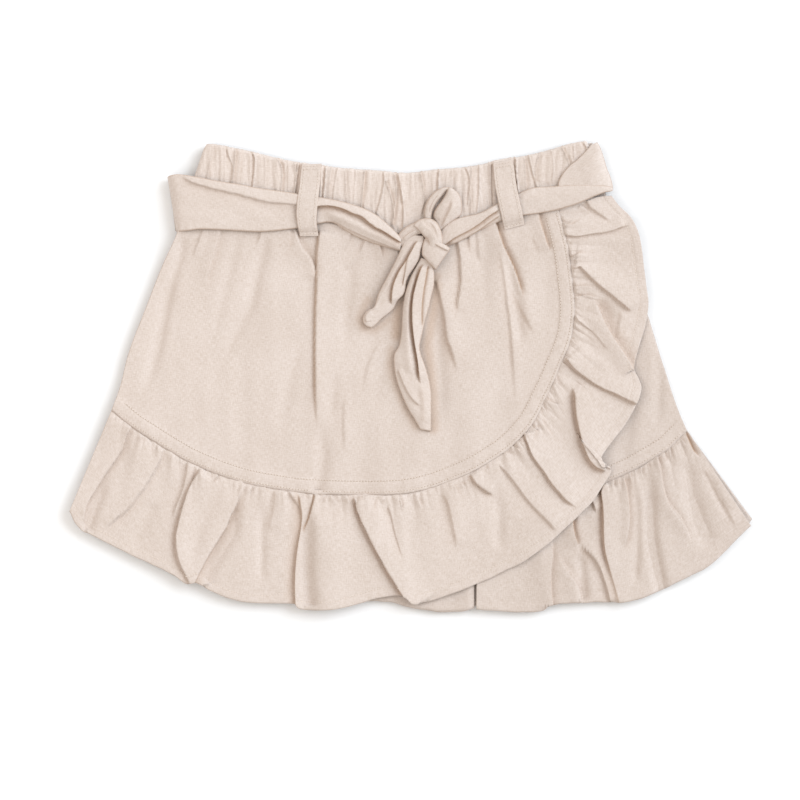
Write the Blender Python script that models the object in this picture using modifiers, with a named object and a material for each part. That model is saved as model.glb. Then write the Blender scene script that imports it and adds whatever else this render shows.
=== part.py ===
"""A child's linen skort, laid flat on a surface and seen from above.

Shorts with ruffled leg hems lie at the bottom, back halves first. Over them lies a wrap front with a
curved, ruffled edge. A gathered waistband, belt loops and a knotted belt finish the waist.
+X is to the right of the skort as laid, +Y towards the waist, +Z up from the surface it lies on.
Tables are in millimetres. Every cloth wall is a surface worked out on a grid and thickened upwards.
"""
import bpy
import bmesh
import numpy as np

# Driving dimensions, in millimetres
MM = 0.001                # metres in a millimetre
CLOTH = 1.0               # single cloth wall
DOUBLED = 1.5             # waistband casing and belt, two cloths thick
SEAM_GAP = 0.4            # distance between two pieces at a seam
PLY_GAP = 0.5             # distance between two cloths that lie on each other
REST_GAP = 0.3            # distance between the belt and what it rests on
BELT_BACK_LEVEL = 1.1     # underside of the belt behind the waist
LOOP_THICKNESS = 0.8      # belt loop wall
WAIST_BACK_LEVEL = 2.9    # underside of the back casing
WAIST_RISE_FROM = 64.0    # height up the skort where the panels start to rise to the casing
WAIST_RISE_TO = 83.0      # and where they have reached it
WAIST_GATHER = 1.5        # height of the front casing's gathers
WAIST_BACK_GATHER = 0.8   # and of the back casing's, which are pressed flat
HIDDEN_WAVE = 1.4         # height of ruffle waves that lie under other cloth
WRAP_RUFFLE_LIFT = 2.9    # extra height of the wrap's ruffle over the leg ruffles
LIFT_RUN = 16.0           # distance over which it climbs that high

LINEN_COLOUR = (0.765, 0.665, 0.585)
BELT_COLOUR = (0.715, 0.625, 0.560)

LEG_BACK_LEVEL = 0.0
LEG_FRONT_LEVEL = LEG_BACK_LEVEL + CLOTH + PLY_GAP
WRAP_LEVEL = LEG_FRONT_LEVEL + CLOTH + PLY_GAP
WAIST_FRONT_LEVEL = WAIST_BACK_LEVEL + WAIST_BACK_GATHER + DOUBLED + PLY_GAP
BELT_LEVEL = WAIST_FRONT_LEVEL + WAIST_GATHER + DOUBLED + REST_GAP
PANEL_RISE = WAIST_BACK_LEVEL


def table(columns, rows):
    """Rows with named columns."""
    names = columns.split()
    return [dict(zip(names, row)) for row in rows]


# Lower edge of the waistband, left to right
WAIST_SEAM = [(-135.3, 100.8), (-95.7, 97.2), (-59.7, 93.6), (-32.7, 88.8), (-5.7, 84.3),
              (18.3, 85.8), (48.3, 93.9), (78.3, 103.2), (96.3, 106.8), (116.7, 111.6)]
# Upper edge of the waistband, left to right
WAIST_TOP = [(-122.1, 138.6), (-108.9, 136.8), (-71.7, 129.0), (-41.7, 124.2), (-5.7, 121.2),
             (30.3, 124.2), (60.3, 130.2), (84.3, 135.0), (105.3, 140.4)]

# Wrap ruffle, from the left side seam round the curved edge and up to the waist
WRAP_RIBS = table("seam hem", [
    ((-179.1, -21.0), (-203.7, -82.2)),
    ((-166.5, -31.2), (-190.5, -94.8)),
    ((-149.1, -42.6), (-168.9, -107.4)),
    ((-132.3, -52.2), (-144.9, -118.8)),
    ((-114.9, -60.0), (-120.9, -129.0)),
    ((-96.9, -65.4), (-96.9, -136.2)),
    ((-76.5, -69.0), (-74.7, -137.4)),
    ((-54.3, -71.4), (-50.7, -140.4)),
    ((-33.9, -72.0), (-24.9, -136.8)),
    ((-15.9, -72.0), (-4.5, -133.2)),
    ((-0.9, -70.8), (11.1, -136.2)),
    ((15.9, -67.2), (29.1, -129.6)),
    ((32.7, -60.6), (48.3, -122.4)),
    ((49.5, -51.6), (66.3, -113.4)),
    ((61.5, -42.6), (83.1, -104.4)),
    ((69.9, -33.6), (98.7, -91.8)),
    ((77.1, -24.0), (112.5, -75.0)),
    ((81.3, -15.6), (120.9, -58.2)),
    ((84.9, -7.8), (122.7, -41.4)),
    ((89.7, 3.6), (134.7, -21.6)),
    ((94.5, 15.6), (138.9, -5.4)),
    ((97.5, 28.2), (138.3, 12.6)),
    ((98.7, 40.2), (143.7, 29.4)),
    ((98.1, 52.2), (143.7, 46.2)),
    ((96.9, 65.4), (141.3, 66.6)),
    ((95.1, 78.6), (138.9, 84.0)),
    ((91.5, 93.0), (133.5, 94.8)),
    ((88.5, 104.4), (122.1, 106.2))])
WRAP_CORNER = 15.0        # rib where the wrap's lower edge turns into its right edge

# Ridges of the wrap ruffle: rib at the seam, rib at the hem, half width in ribs, height, lean
WRAP_RIDGES = table("at end width height lean", [
    (0.40, 0.35, 0.42, 2.8, 0.0),
    (1.30, 1.15, 0.38, 3.4, 0.0),
    (2.20, 2.05, 0.50, 3.6, 0.2),
    (3.05, 2.95, 0.40, 3.8, 0.5),
    (3.85, 3.75, 0.42, 4.6, 0.5),
    (4.65, 4.55, 0.42, 4.6, 0.2),
    (5.45, 5.40, 0.42, 3.4, 0.0),
    (6.20, 6.20, 0.38, 4.2, 0.3),
    (6.95, 7.00, 0.40, 4.2, 0.0),
    (7.70, 7.85, 0.44, 3.6, -0.2),
    (8.50, 8.75, 0.40, 3.4, -0.5),
    (9.20, 9.70, 0.42, 5.0, -0.8),
    (9.95, 10.55, 0.40, 3.4, -0.3),
    (10.80, 11.40, 0.42, 3.6, 0.0),
    (11.60, 12.20, 0.40, 3.8, 0.0),
    (12.45, 13.00, 0.40, 3.8, -0.2),
    (13.25, 13.80, 0.40, 4.2, -0.4),
    (14.05, 14.65, 0.42, 4.2, -0.4),
    (14.95, 15.50, 0.42, 4.8, -0.4),
    (15.85, 16.30, 0.40, 4.4, -0.2),
    (16.75, 17.05, 0.38, 4.0, 0.0),
    (17.65, 17.80, 0.38, 4.2, 0.3),
    (18.50, 18.60, 0.40, 4.4, 0.4),
    (19.35, 19.40, 0.40, 4.6, 0.3),
    (20.25, 20.25, 0.42, 3.8, 0.0),
    (21.15, 21.10, 0.42, 3.8, 0.0),
    (22.05, 21.95, 0.42, 4.0, 0.2),
    (22.95, 22.85, 0.44, 3.4, 0.0),
    (23.90, 23.85, 0.46, 3.6, -0.2),
    (24.85, 25.00, 0.42, 3.4, -0.3),
    (25.75, 25.90, 0.40, 2.2, 0.0)])

# Leg ruffles, from the outer or left end to the right
LEG_RIBS_LEFT = table("seam hem", [
    ((-171.9, -30.0), (-197.7, -82.2)),
    ((-158.7, -39.6), (-179.7, -97.8)),
    ((-143.7, -48.0), (-158.7, -108.6)),
    ((-125.7, -57.0), (-136.5, -118.8)),
    ((-104.7, -65.4), (-112.5, -128.4)),
    ((-80.7, -71.4), (-86.7, -134.4)),
    ((-56.7, -74.4), (-59.7, -136.8)),
    ((-32.7, -75.6), (-35.7, -135.6)),
    ((-8.7, -75.6), (-11.7, -136.2)),
    ((11.1, -75.6), (9.3, -140.7)),
    ((26.1, -75.0), (25.5, -142.2)),
    ((38.1, -74.4), (39.0, -139.8))])
LEG_RIBS_RIGHT = table("seam hem", [
    ((41.7, -74.4), (42.3, -139.8)),
    ((61.5, -75.0), (61.5, -141.0)),
    ((81.3, -73.2), (82.5, -140.4)),
    ((99.3, -69.6), (101.7, -136.8)),
    ((118.5, -64.2), (121.5, -136.2)),
    ((132.3, -58.2), (141.9, -132.0)),
    ((144.3, -51.6), (162.9, -123.0)),
    ((155.1, -45.0), (180.9, -112.8)),
    ((162.3, -39.0), (192.9, -102.0)),
    ((166.5, -34.2), (200.7, -88.8))])
LEG_RIDGES_RIGHT = table("at end width height lean", [
    (0.55, 0.50, 0.40, 1.4, 0.0),
    (1.45, 1.40, 0.40, 1.4, 0.0),
    (2.30, 2.20, 0.38, 1.6, 0.2),
    (3.10, 3.05, 0.38, 1.6, 0.0),
    (3.80, 3.80, 0.36, 1.8, 0.0),
    (4.60, 4.65, 0.40, 2.8, 0.2),
    (5.45, 5.50, 0.40, 3.0, 0.0),
    (6.35, 6.40, 0.42, 3.0, -0.2),
    (7.25, 7.30, 0.42, 2.8, 0.0),
    (8.10, 8.15, 0.36, 2.4, 0.0)])
HIDDEN_RIDGE_STEP = 0.9   # ribs between the waves of a ruffle that doesn't show

# Edges of the panels
WRAP_SIDE = [(-135.3, 100.8), (-139.5, 84.6), (-146.7, 69.0), (-158.1, 40.2), (-168.9, 11.4),
             (-173.7, -7.8), (-179.1, -21.0)]
LEG_SIDE_LEFT = [(-134.7, 100.8), (-138.9, 83.4), (-146.1, 66.0), (-155.7, 40.2), (-166.5, 11.4),
                 (-171.9, -12.0), (-171.9, -30.0)]
LEG_SIDE_RIGHT = [(116.7, 111.6), (126.3, 83.4), (141.9, 39.0), (152.7, 4.2), (162.3, -24.0),
                  (166.5, -34.2)]
CENTRE_SEAM = [(-5.7, 84.3), (2.1, 45.0), (12.9, -3.0), (27.3, -49.8), (39.9, -74.4)]
PANEL_ROWS = np.array([0, 0.04, 0.08, 0.12, 0.16, 0.21, 0.28, 0.4, 0.55, 0.7, 0.85, 1.0])
WRAP_ROWS = np.array([0, 0.04, 0.08, 0.12, 0.16, 0.21, 0.27, 0.34, 0.42, 0.5, 0.58, 0.66, 0.75,
                      0.84, 0.92, 1.0])
BACK_INSET = 0.6          # how far the back panels stay inside the front ones

# Soft folds on the wrap and on the right leg: two ends, bow to the right, width each side, height
WRAP_FOLDS = table("start finish bow left right height", [
    ((-68.1, 82.2), (-60.3, -39.0), 5.0, 9.0, 4.0, 2.2),
    ((-114.9, 82.2), (-128.1, 45.0), 1.0, 4.0, 5.0, 1.4),
    ((-95.7, 81.0), (-99.9, 27.0), 0.0, 5.0, 5.0, 1.0),
    ((-136.5, 81.0), (-155.7, 27.0), 1.0, 4.0, 6.0, 1.2),
    ((49.5, 82.2), (66.9, 45.0), 1.0, 4.0, 4.0, 1.6),
    ((32.7, 67.8), (36.3, -15.0), 2.0, 6.0, 5.0, 1.4),
    ((-35.7, 67.8), (-28.5, -15.0), 0.0, 8.0, 8.0, 1.0),
    ((75.3, 81.0), (81.3, 27.0), 0.0, 5.0, 5.0, 1.2)])
LEG_FOLDS = table("start finish bow left right height", [
    ((150.3, 27.0), (147.3, -39.0), 2.0, 5.0, 5.0, 0.8)])

# Grooves between the casing's gathers, by their place from left to right along the waist
GATHERS_FRONT = [-114, -109, -104, -98, -92, -84, -77, -69, -65, -52, -46, -43, -33, -27, -16,
                 -9, -4, 7, 14, 22, 33, 42, 49, 56, 64, 70, 76, 85, 93, 101]
GATHERS_BACK = [-112, -101, -92, -81, -72, -60, -51, -40, -30, -19, -9, 2, 13, 22, 33, 44, 54,
                64, 73, 84, 93, 102]
GROOVE = 1.3              # half width of a groove
CASING_ROWS = np.array([0, 0.1, 0.22, 0.6, 1.0])

# Belt: upper edge, lower edge, underside at each edge, crown
BELT_LEFT = table("upper lower z_upper z_lower crown", [
    ((-144.6, 118.2), (-140.7, 86.1), -6.1, -6.1, 0.1),
    ((-143.1, 118.5), (-139.5, 86.1), -2.2, -2.2, 0.2),
    ((-138.9, 119.1), (-135.3, 86.1), -0.3, -0.3, 0.5),
    ((-130.5, 119.1), (-126.9, 86.1), 0.0, 0.0, 0.7),
    ((-119.7, 116.4), (-116.7, 86.4), 0.0, 0.0, 0.8),
    ((-101.7, 112.8), (-98.7, 86.4), 0.0, 0.0, 0.8),
    ((-83.7, 109.2), (-82.5, 86.7), 0.0, 0.0, 0.8),
    ((-66.3, 106.8), (-66.3, 86.7), 0.0, 0.0, 0.6),
    ((-53.7, 106.8), (-54.3, 89.4), 0.0, 0.0, 0.8),
    ((-42.9, 105.0), (-42.9, 89.4), 0.0, 0.0, 1.6),
    ((-30.3, 97.2), (-30.3, 82.2), 0.0, 0.0, 2.0),
    ((-17.1, 89.4), (-17.1, 77.4), 0.0, 0.0, 2.0),
    ((-5.7, 82.8), (-5.7, 75.0), 0.0, 0.0, 1.2)])
BELT_RIGHT = table("upper lower z_upper z_lower crown", [
    ((21.9, 86.4), (22.5, 76.8), 0.0, 0.0, 1.2),
    ((30.9, 91.8), (32.1, 81.0), 0.0, 0.0, 2.0),
    ((42.3, 96.6), (43.5, 86.4), 0.0, 0.0, 2.0),
    ((52.5, 102.0), (55.5, 92.4), 0.0, 0.0, 0.8),
    ((65.1, 109.2), (67.5, 94.8), 0.0, 0.0, 0.6),
    ((77.1, 111.3), (80.1, 96.6), 0.0, 0.0, 1.0),
    ((90.3, 112.2), (93.3, 99.6), 0.0, 0.0, 0.8),
    ((105.3, 112.0), (108.3, 104.1), 0.0, 0.0, 0.6),
    ((116.1, 111.4), (117.3, 107.4), -0.3, -0.3, 0.3),
    ((121.8, 111.3), (120.9, 108.9), -6.0, -6.0, 0.0)])
BELT_RIGHT_FOLD = table("upper lower z_upper z_lower crown", [
    ((107.1, 135.6), (113.1, 137.4), -0.8, -5.0, 0.3),
    ((102.3, 129.6), (116.4, 130.8), 0.0, -6.2, 1.0),
    ((95.7, 123.3), (119.1, 123.6), 0.0, -6.3, 1.2),
    ((91.5, 118.2), (121.5, 118.2), 0.0, -6.3, 1.0),
    ((90.6, 114.6), (122.3, 113.7), 0.0, -6.2, 0.6)])
BELT_BACK = table("upper lower z_upper z_lower crown", [
    ((-144.3, 117.9), (-140.4, 86.4), 0.0, 0.0, 0.0),
    ((-107.7, 117.0), (-106.5, 85.2), 0.0, 0.0, 0.0),
    ((-59.7, 115.8), (-59.7, 84.0), 0.0, 0.0, 0.0),
    ((-5.7, 117.0), (-5.7, 84.6), 0.0, 0.0, 0.0),
    ((54.3, 122.4), (57.9, 89.4), 0.0, 0.0, 0.0),
    ((90.3, 135.0), (99.9, 103.2), 0.0, 0.0, 0.0),
    ((109.5, 140.4), (122.1, 112.8), 0.0, 0.0, 0.0)])
BELT_KNOT = table("upper lower z_upper z_lower crown", [
    ((-4.5, 82.8), (-0.6, 80.7), 2.1, 2.1, 0.6),
    ((-1.5, 87.0), (2.1, 82.8), 2.1, 2.4, 1.4),
    ((2.7, 90.9), (5.1, 84.9), 2.1, 2.7, 2.0),
    ((8.7, 93.3), (7.8, 84.9), 2.1, 2.7, 2.4),
    ((13.5, 92.4), (9.3, 83.4), 2.1, 2.7, 2.4),
    ((17.1, 88.2), (9.6, 81.0), 2.1, 2.7, 2.4),
    ((19.5, 83.4), (10.2, 78.6), 2.1, 2.7, 2.0),
    ((20.4, 77.4), (11.1, 75.9), 2.1, 2.5, 1.4)])
BELT_BAND = table("upper lower z_upper z_lower crown", [
    ((7.2, 75.0), (23.7, 75.0), 1.1, 2.3, 1.2),
    ((7.5, 71.4), (21.6, 71.4), 0.7, 1.9, 1.2),
    ((11.1, 66.9), (18.9, 66.9), 0.4, 1.1, 0.8),
    ((14.7, 63.0), (16.5, 63.0), 0.3, 0.3, 0.1)])
BELT_BOW = table("upper lower z_upper z_lower crown", [
    ((8.4, 94.8), (12.9, 92.4), 0.2, 0.3, 0.1),
    ((8.7, 99.6), (14.1, 98.1), 0.2, 1.1, 0.4),
    ((10.5, 105.3), (16.2, 102.0), 0.2, 1.7, 0.6),
    ((15.3, 109.2), (18.9, 105.0), 0.2, 2.5, 0.6),
    ((22.5, 112.2), (22.0, 108.9), 0.3, 3.5, 0.4),
    ((26.7, 111.0), (23.7, 108.0), 0.3, 3.7, 0.6),
    ((30.3, 106.2), (21.9, 105.0), 0.2, 3.9, 1.6),
    ((31.8, 100.8), (20.1, 101.7), 0.2, 3.5, 2.0),
    ((30.6, 96.0), (18.0, 98.4), 0.2, 2.7, 2.0),
    ((24.9, 92.1), (16.5, 95.4), 0.2, 1.5, 1.2),
    ((19.5, 88.8), (15.3, 92.7), 0.2, 0.3, 0.1)])
TAIL_LEFT = table("upper lower z_upper z_lower crown", [
    ((-2.1, 79.2), (6.3, 79.2), 0.5, 0.5, 0.0),
    ((-6.3, 71.4), (3.6, 67.8), -0.3, -0.3, 1.2),
    ((-11.7, 61.2), (-0.3, 58.2), -1.7, -1.7, 1.8),
    ((-17.1, 50.4), (-3.9, 48.6), -2.5, -2.5, 2.0),
    ((-20.7, 42.6), (-7.5, 43.2), -2.5, -2.5, 1.6),
    ((-26.1, 37.8), (-13.5, 37.2), -2.5, -2.5, 1.2),
    ((-28.5, 33.0), (-19.5, 31.5), -2.5, -2.5, 0.8),
    ((-27.0, 29.4), (-23.4, 28.5), -2.5, -2.5, 0.2)])
TAIL_RIGHT = table("upper lower z_upper z_lower crown", [
    ((6.0, 69.6), (12.9, 69.0), -1.7, -1.7, 0.4),
    ((2.7, 61.2), (15.0, 60.6), -2.3, -2.3, 1.6),
    ((-0.6, 51.0), (14.4, 51.0), -2.6, -2.6, 2.4),
    ((-3.3, 41.4), (11.1, 41.4), -2.6, -2.6, 2.4),
    ((-5.1, 29.4), (8.1, 29.4), -2.6, -2.6, 2.2),
    ((-6.9, 18.0), (6.0, 17.4), -2.6, -2.6, 1.8),
    ((-8.8, 10.2), (7.5, 10.2), -2.6, -2.6, 1.8),
    ((-8.1, 0.6), (10.5, 0.6), -2.6, -2.6, 2.0),
    ((-4.5, -10.2), (12.9, -9.0), -2.6, -2.6, 1.8),
    ((0.9, -21.6), (13.2, -21.6), -2.6, -2.6, 1.2),
    ((7.5, -32.4), (13.2, -34.2), -2.6, -2.6, 0.3)])
STRIP_FOLD = 0.34         # where a belt's lengthwise fold lies, from its upper edge
STRIP_FOLD_WIDTH = 0.12

# Belt loops: left edge, right edge and underside at each section, top to bottom
LOOP_FRONT_LEFT = table("upper lower z_upper z_lower crown", [
    ((-64.2, 126.0), (-52.8, 126.3), 0.0, 0.0, 0.0),
    ((-64.5, 119.4), (-53.1, 119.4), 0.0, 0.0, 0.0),
    ((-64.8, 112.8), (-53.4, 112.8), 0.5, 0.5, 0.0),
    ((-65.1, 108.0), (-53.7, 108.0), 2.6, 2.6, 0.0),
    ((-65.4, 102.0), (-54.0, 102.0), 3.0, 3.0, 0.0),
    ((-65.7, 94.8), (-54.3, 94.8), 3.0, 3.0, 0.0),
    ((-66.0, 88.2), (-54.6, 88.2), 2.9, 2.9, 0.0),
    ((-66.3, 84.9), (-54.9, 84.9), 1.6, 1.6, 0.0),
    ((-66.3, 82.8), (-54.9, 82.8), -0.9, -0.9, 0.0)])
LOOP_FRONT_RIGHT = table("upper lower z_upper z_lower crown", [
    ((49.8, 126.6), (62.4, 128.4), 0.0, 0.0, 0.0),
    ((50.4, 121.2), (63.0, 123.0), 0.0, 0.0, 0.0),
    ((51.3, 114.6), (64.2, 116.7), 0.5, 0.5, 0.0),
    ((52.2, 109.2), (65.1, 111.6), 2.6, 2.6, 0.0),
    ((53.1, 102.6), (66.3, 105.3), 3.0, 3.0, 0.0),
    ((54.3, 96.0), (67.5, 98.7), 3.0, 3.0, 0.0),
    ((55.2, 91.2), (68.4, 93.9), 2.6, 2.6, 0.0),
    ((55.8, 88.5), (69.0, 91.2), 1.5, 1.5, 0.0),
    ((56.1, 86.4), (69.3, 89.4), -0.9, -0.9, 0.0)])
BACK_LOOPS = table("name top bottom", [
    ("left", (-63.3, 124.2), (-63.3, 79.2)),
    ("right", (52.5, 127.8), (60.9, 82.8))])
LOOP_WIDTH = 11.5
LOOP_SHAPE = table("along level", [
    (0.0, 1.6), (0.05, 1.2), (0.12, 0.0), (0.4, 0.0), (0.7, 0.0), (0.92, 0.0), (0.97, 1.1),
    (1.0, 1.4)])


def smooth(knots, values, at):
    """A cubic curve through the values, its slope at each knot taken from the neighbours."""
    knots = np.asarray(knots, dtype=float)
    values = np.asarray(values, dtype=float)
    slopes = np.gradient(values, knots, axis=0)
    at = np.clip(at, knots[0], knots[-1])
    i = np.clip(np.searchsorted(knots, at, side="right") - 1, 0, len(knots) - 2)
    step = knots[i + 1] - knots[i]
    f = (at - knots[i]) / step
    if values.ndim == 2:
        step = step[..., None]
        f = f[..., None]
    start = (1 + 2 * f) * (1 - f) ** 2 * values[i] + f * (1 - f) ** 2 * step * slopes[i]
    end = f * f * (3 - 2 * f) * values[i + 1] - f * f * (1 - f) * step * slopes[i + 1]
    return start + end


def along(points, fractions):
    """Places on the smooth line through the points, by fraction of its length."""
    points = np.asarray(points, dtype=float)
    steps = np.hypot(*np.diff(points, axis=0).T)
    knots = np.concatenate([[0.0], np.cumsum(steps)])
    return smooth(knots, points, np.asarray(fractions) * knots[-1])


def column(rows, name):
    """One column of a table, as an array."""
    return np.array([row[name] for row in rows], dtype=float)


def ease(x):
    """0 below 0, 1 above 1 and a smooth rise between."""
    x = np.clip(x, 0.0, 1.0)
    return x * x * (3.0 - 2.0 * x)


def between(top, bottom, left, right, u, v):
    """Points inside four edges: u runs from left to right, v from top to bottom."""
    u = u[None, :, None]
    v = v[:, None, None]
    rows = (1 - v) * top[None] + v * bottom[None]
    columns = (1 - u) * left[:, None] + u * right[:, None]
    corners = (1 - v) * ((1 - u) * top[0] + u * top[-1])
    corners = corners + v * ((1 - u) * bottom[0] + u * bottom[-1])
    return rows + columns - corners


def waist_rise(y):
    """How far the panels have risen towards the casing, 0 to 1."""
    return ease((y - WAIST_RISE_FROM) / (WAIST_RISE_TO - WAIST_RISE_FROM))


def soft_folds(rows, x, y):
    """Height of the long soft ridges: a bell across each line, fading at both ends."""
    height = np.zeros_like(x)
    for row in rows:
        start = np.array(row["start"])
        run = np.array(row["finish"]) - start
        length = np.hypot(*run)
        forward = run / length
        part = ((x - start[0]) * forward[0] + (y - start[1]) * forward[1]) / length
        side = (y - start[1]) * forward[0] - (x - start[0]) * forward[1]
        side = side - row["bow"] * 4 * np.clip(part * (1 - part), 0, None)
        reach = np.where(side < 0, row["left"], row["right"])
        fade = ease((part + 0.1) / 0.25) * ease((1.1 - part) / 0.4)
        height = np.maximum(height, row["height"] * fade * np.exp(-(side / reach) ** 2))
    return height


def ridges(rows, s, t):
    """Height and lean of a ruffle's waves at rib s, from the seam (t = 0) to the hem (t = 1)."""
    height = np.zeros_like(s)
    lean = np.zeros_like(s)
    weight = np.full_like(s, 0.02)
    for row in rows:
        centre = row["at"] + (row["end"] - row["at"]) * t
        offset = (s - centre) / row["width"]
        wave = np.cos(np.clip(offset, -1, 1) * np.pi / 2) ** 2
        height += row["height"] * wave * (0.3 + 0.7 * ease(t * 1.15))
        near = np.exp(-(offset * 0.6) ** 2)
        lean += row["lean"] * near
        weight += near
    return height, lean / weight


def even_ridges(ribs, height):
    """Plain waves for a ruffle that other cloth hides."""
    places = np.arange(HIDDEN_RIDGE_STEP / 2, len(ribs) - 1.2, HIDDEN_RIDGE_STEP)
    rows = [(place, place, 0.38, height, 0.0) for place in places]
    return table("at end width height lean", rows)


def linen(name, colour):
    """Matt woven cloth."""
    material = bpy.data.materials.new(name + " linen")
    material.use_nodes = True
    shader = material.node_tree.nodes["Principled BSDF"]
    shader.inputs["Base Color"].default_value = (*colour, 1.0)
    shader.inputs["Roughness"].default_value = 0.85
    shader.inputs["Metallic"].default_value = 0.0
    material.diffuse_color = (*colour, 1.0)
    return material


def sheet(name, x, y, z, thickness, colour=LINEN_COLOUR):
    """A cloth wall: a grid laid on the surface x, y, z, thickened upwards."""
    rows, columns = x.shape
    grid = bmesh.new()
    bmesh.ops.create_grid(grid, x_segments=columns - 1, y_segments=rows - 1, size=0.5)
    points = np.stack([x, y, z], axis=-1).reshape(-1, 3) * MM
    for vertex, point in zip(grid.verts, points):
        vertex.co = point
    grid.normal_update()
    if sum(face.normal.z * face.calc_area() for face in grid.faces) < 0:
        bmesh.ops.reverse_faces(grid, faces=grid.faces)
    mesh = bpy.data.meshes.new(name)
    grid.to_mesh(mesh)
    grid.free()
    mesh.shade_smooth()
    mesh.materials.append(linen(name, colour))
    cloth = bpy.data.objects.new(name, mesh)
    skort.objects.link(cloth)
    wall = cloth.modifiers.new("Cloth wall", "SOLIDIFY")
    wall.thickness = thickness * MM
    wall.offset = 1.0
    return cloth


def waist_edge(start_x, end_x, fractions):
    """The panels' upper edge, just below the waistband."""
    line = np.array(WAIST_SEAM)
    x = start_x + (end_x - start_x) * fractions
    return np.stack([x, smooth(line[:, 0], line[:, 1], x) - SEAM_GAP], axis=-1)


def rib_line(ribs, edge, s):
    """The seam or the hem of a ruffle at ribs s."""
    return smooth(np.arange(len(ribs)), column(ribs, edge), s)


def ruffle(name, ribs, folds, columns, rows, base, thickness=CLOTH):
    """A gathered strip from its seam to its hem, in waves that grow and lean towards the hem."""
    s, t = np.meshgrid(np.linspace(0, len(ribs) - 1, columns + 1), np.linspace(0, 1, rows + 1))
    height, lean = ridges(folds, s, t)
    ends = ease(s * 3) * ease((len(ribs) - 1 - s) * 3)
    height = height * ends
    seam = rib_line(ribs, "seam", s)
    hem = rib_line(ribs, "hem", s)
    length = np.linalg.norm(hem - seam, axis=-1)
    start = SEAM_GAP / length
    reach = (start + (1 - start) * t)[..., None]
    place = seam + (hem - seam) * reach
    across = rib_line(ribs, "hem", s + 0.1) - rib_line(ribs, "hem", s - 0.1)
    across = across / np.linalg.norm(across, axis=-1)[..., None]
    place = place + across * (lean * height)[..., None]
    x = place[..., 0]
    y = place[..., 1]
    z = base(x, y, t) + height
    return sheet(name, x, y, z, thickness)


def strip(name, sections, level, lengthwise, crosswise, thickness, fold=0.0, bend=1.0):
    """A band through its sections, crowned across, with one lengthwise fold raised or sunk."""
    s, w = np.meshgrid(np.linspace(0, len(sections) - 1, lengthwise + 1),
                       np.linspace(0, 1, crosswise + 1) ** (1 / bend ** 0.5))
    knots = np.arange(len(sections))
    upper = smooth(knots, column(sections, "upper"), s)
    lower = smooth(knots, column(sections, "lower"), s)
    place = upper + (lower - upper) * w[..., None]
    z_upper = smooth(knots, column(sections, "z_upper"), s)
    z_lower = smooth(knots, column(sections, "z_lower"), s)
    crown = smooth(knots, column(sections, "crown"), s)
    z = level + z_upper + (z_lower - z_upper) * w ** bend + crown * 4 * w * (1 - w)
    z = z + fold * np.exp(-((w - STRIP_FOLD) / STRIP_FOLD_WIDTH) ** 2) * np.minimum(crown, 1.0)
    z = np.maximum(z, 0.0)    # nothing sinks below the surface that the skort lies on
    return sheet(name, place[..., 0], place[..., 1], z, thickness, BELT_COLOUR)


def leg(name, start_x, end_x, left, right, ribs, level, folds=()):
    """One half of the shorts, front or back, from the waist to the ruffle's seam."""
    u = np.linspace(0, 1, 9)
    v = PANEL_ROWS
    top = waist_edge(start_x, end_x, u)
    bottom = rib_line(ribs, "seam", u * (len(ribs) - 1))
    left_edge = along(left, v)
    right_edge = along(right, v)
    left_edge = left_edge + (top[0] - left_edge[0]) * (1 - v)[:, None]
    right_edge = right_edge + (top[-1] - right_edge[0]) * (1 - v)[:, None]
    left_edge = left_edge + (bottom[0] - left_edge[-1]) * v[:, None]
    right_edge = right_edge + (bottom[-1] - right_edge[-1]) * v[:, None]
    place = between(top, bottom, left_edge, right_edge, u, v)
    x = place[..., 0]
    y = place[..., 1]
    z = level + PANEL_RISE * waist_rise(y) + soft_folds(folds, x, y)
    return sheet(name, x, y, z, CLOTH)


def mirror_seam(points, offset):
    """The centre seam's line, moved sideways so that the two halves lie apart."""
    return [(x + offset, y) for x, y in points]


def back_ribs(ribs, shift):
    """A back ruffle's ribs: the front ones, drawn in at the hem."""
    rows = []
    for rib in ribs:
        seam = np.array(rib["seam"])
        hem = np.array(rib["hem"])
        rows.append((tuple(seam), tuple(seam + (hem - seam) * shift)))
    return table("seam hem", rows)


def leg_base(level):
    """The underside of a leg ruffle: it starts at the panel and lifts over the back one's waves."""
    def base(x, y, t):
        return level + (HIDDEN_WAVE + 0.1) * ease(t * 2.5) * (level > 0)
    return base


def wrap_base(x, y, t):
    """The underside of the wrap's ruffle, higher where the leg ruffles lie under it."""
    left = column(LEG_RIBS_LEFT, "seam")
    right = column(LEG_RIBS_RIGHT, "seam")
    line = np.concatenate([left, right])
    below = smooth(line[:, 0], line[:, 1], x) - y
    lift = WRAP_RUFFLE_LIFT * ease((below + 4.0) / LIFT_RUN)
    return WRAP_LEVEL + lift + PANEL_RISE * waist_rise(y)


def casing_lines(grooves, start, end, shoulders):
    """Grid lines across the casing: each groove, the crests between and the groove's shoulders."""
    grooves = np.array(grooves)
    crests = (grooves[1:] + grooves[:-1]) / 2
    lines = [[start, end], grooves, crests]
    if shoulders:
        lines.extend([grooves - GROOVE, grooves + GROOVE])
    lines = np.sort(np.concatenate(lines))
    keep = np.concatenate([[True], np.diff(lines) > 0.7])
    keep[-1] = True
    return lines[keep]


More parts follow.
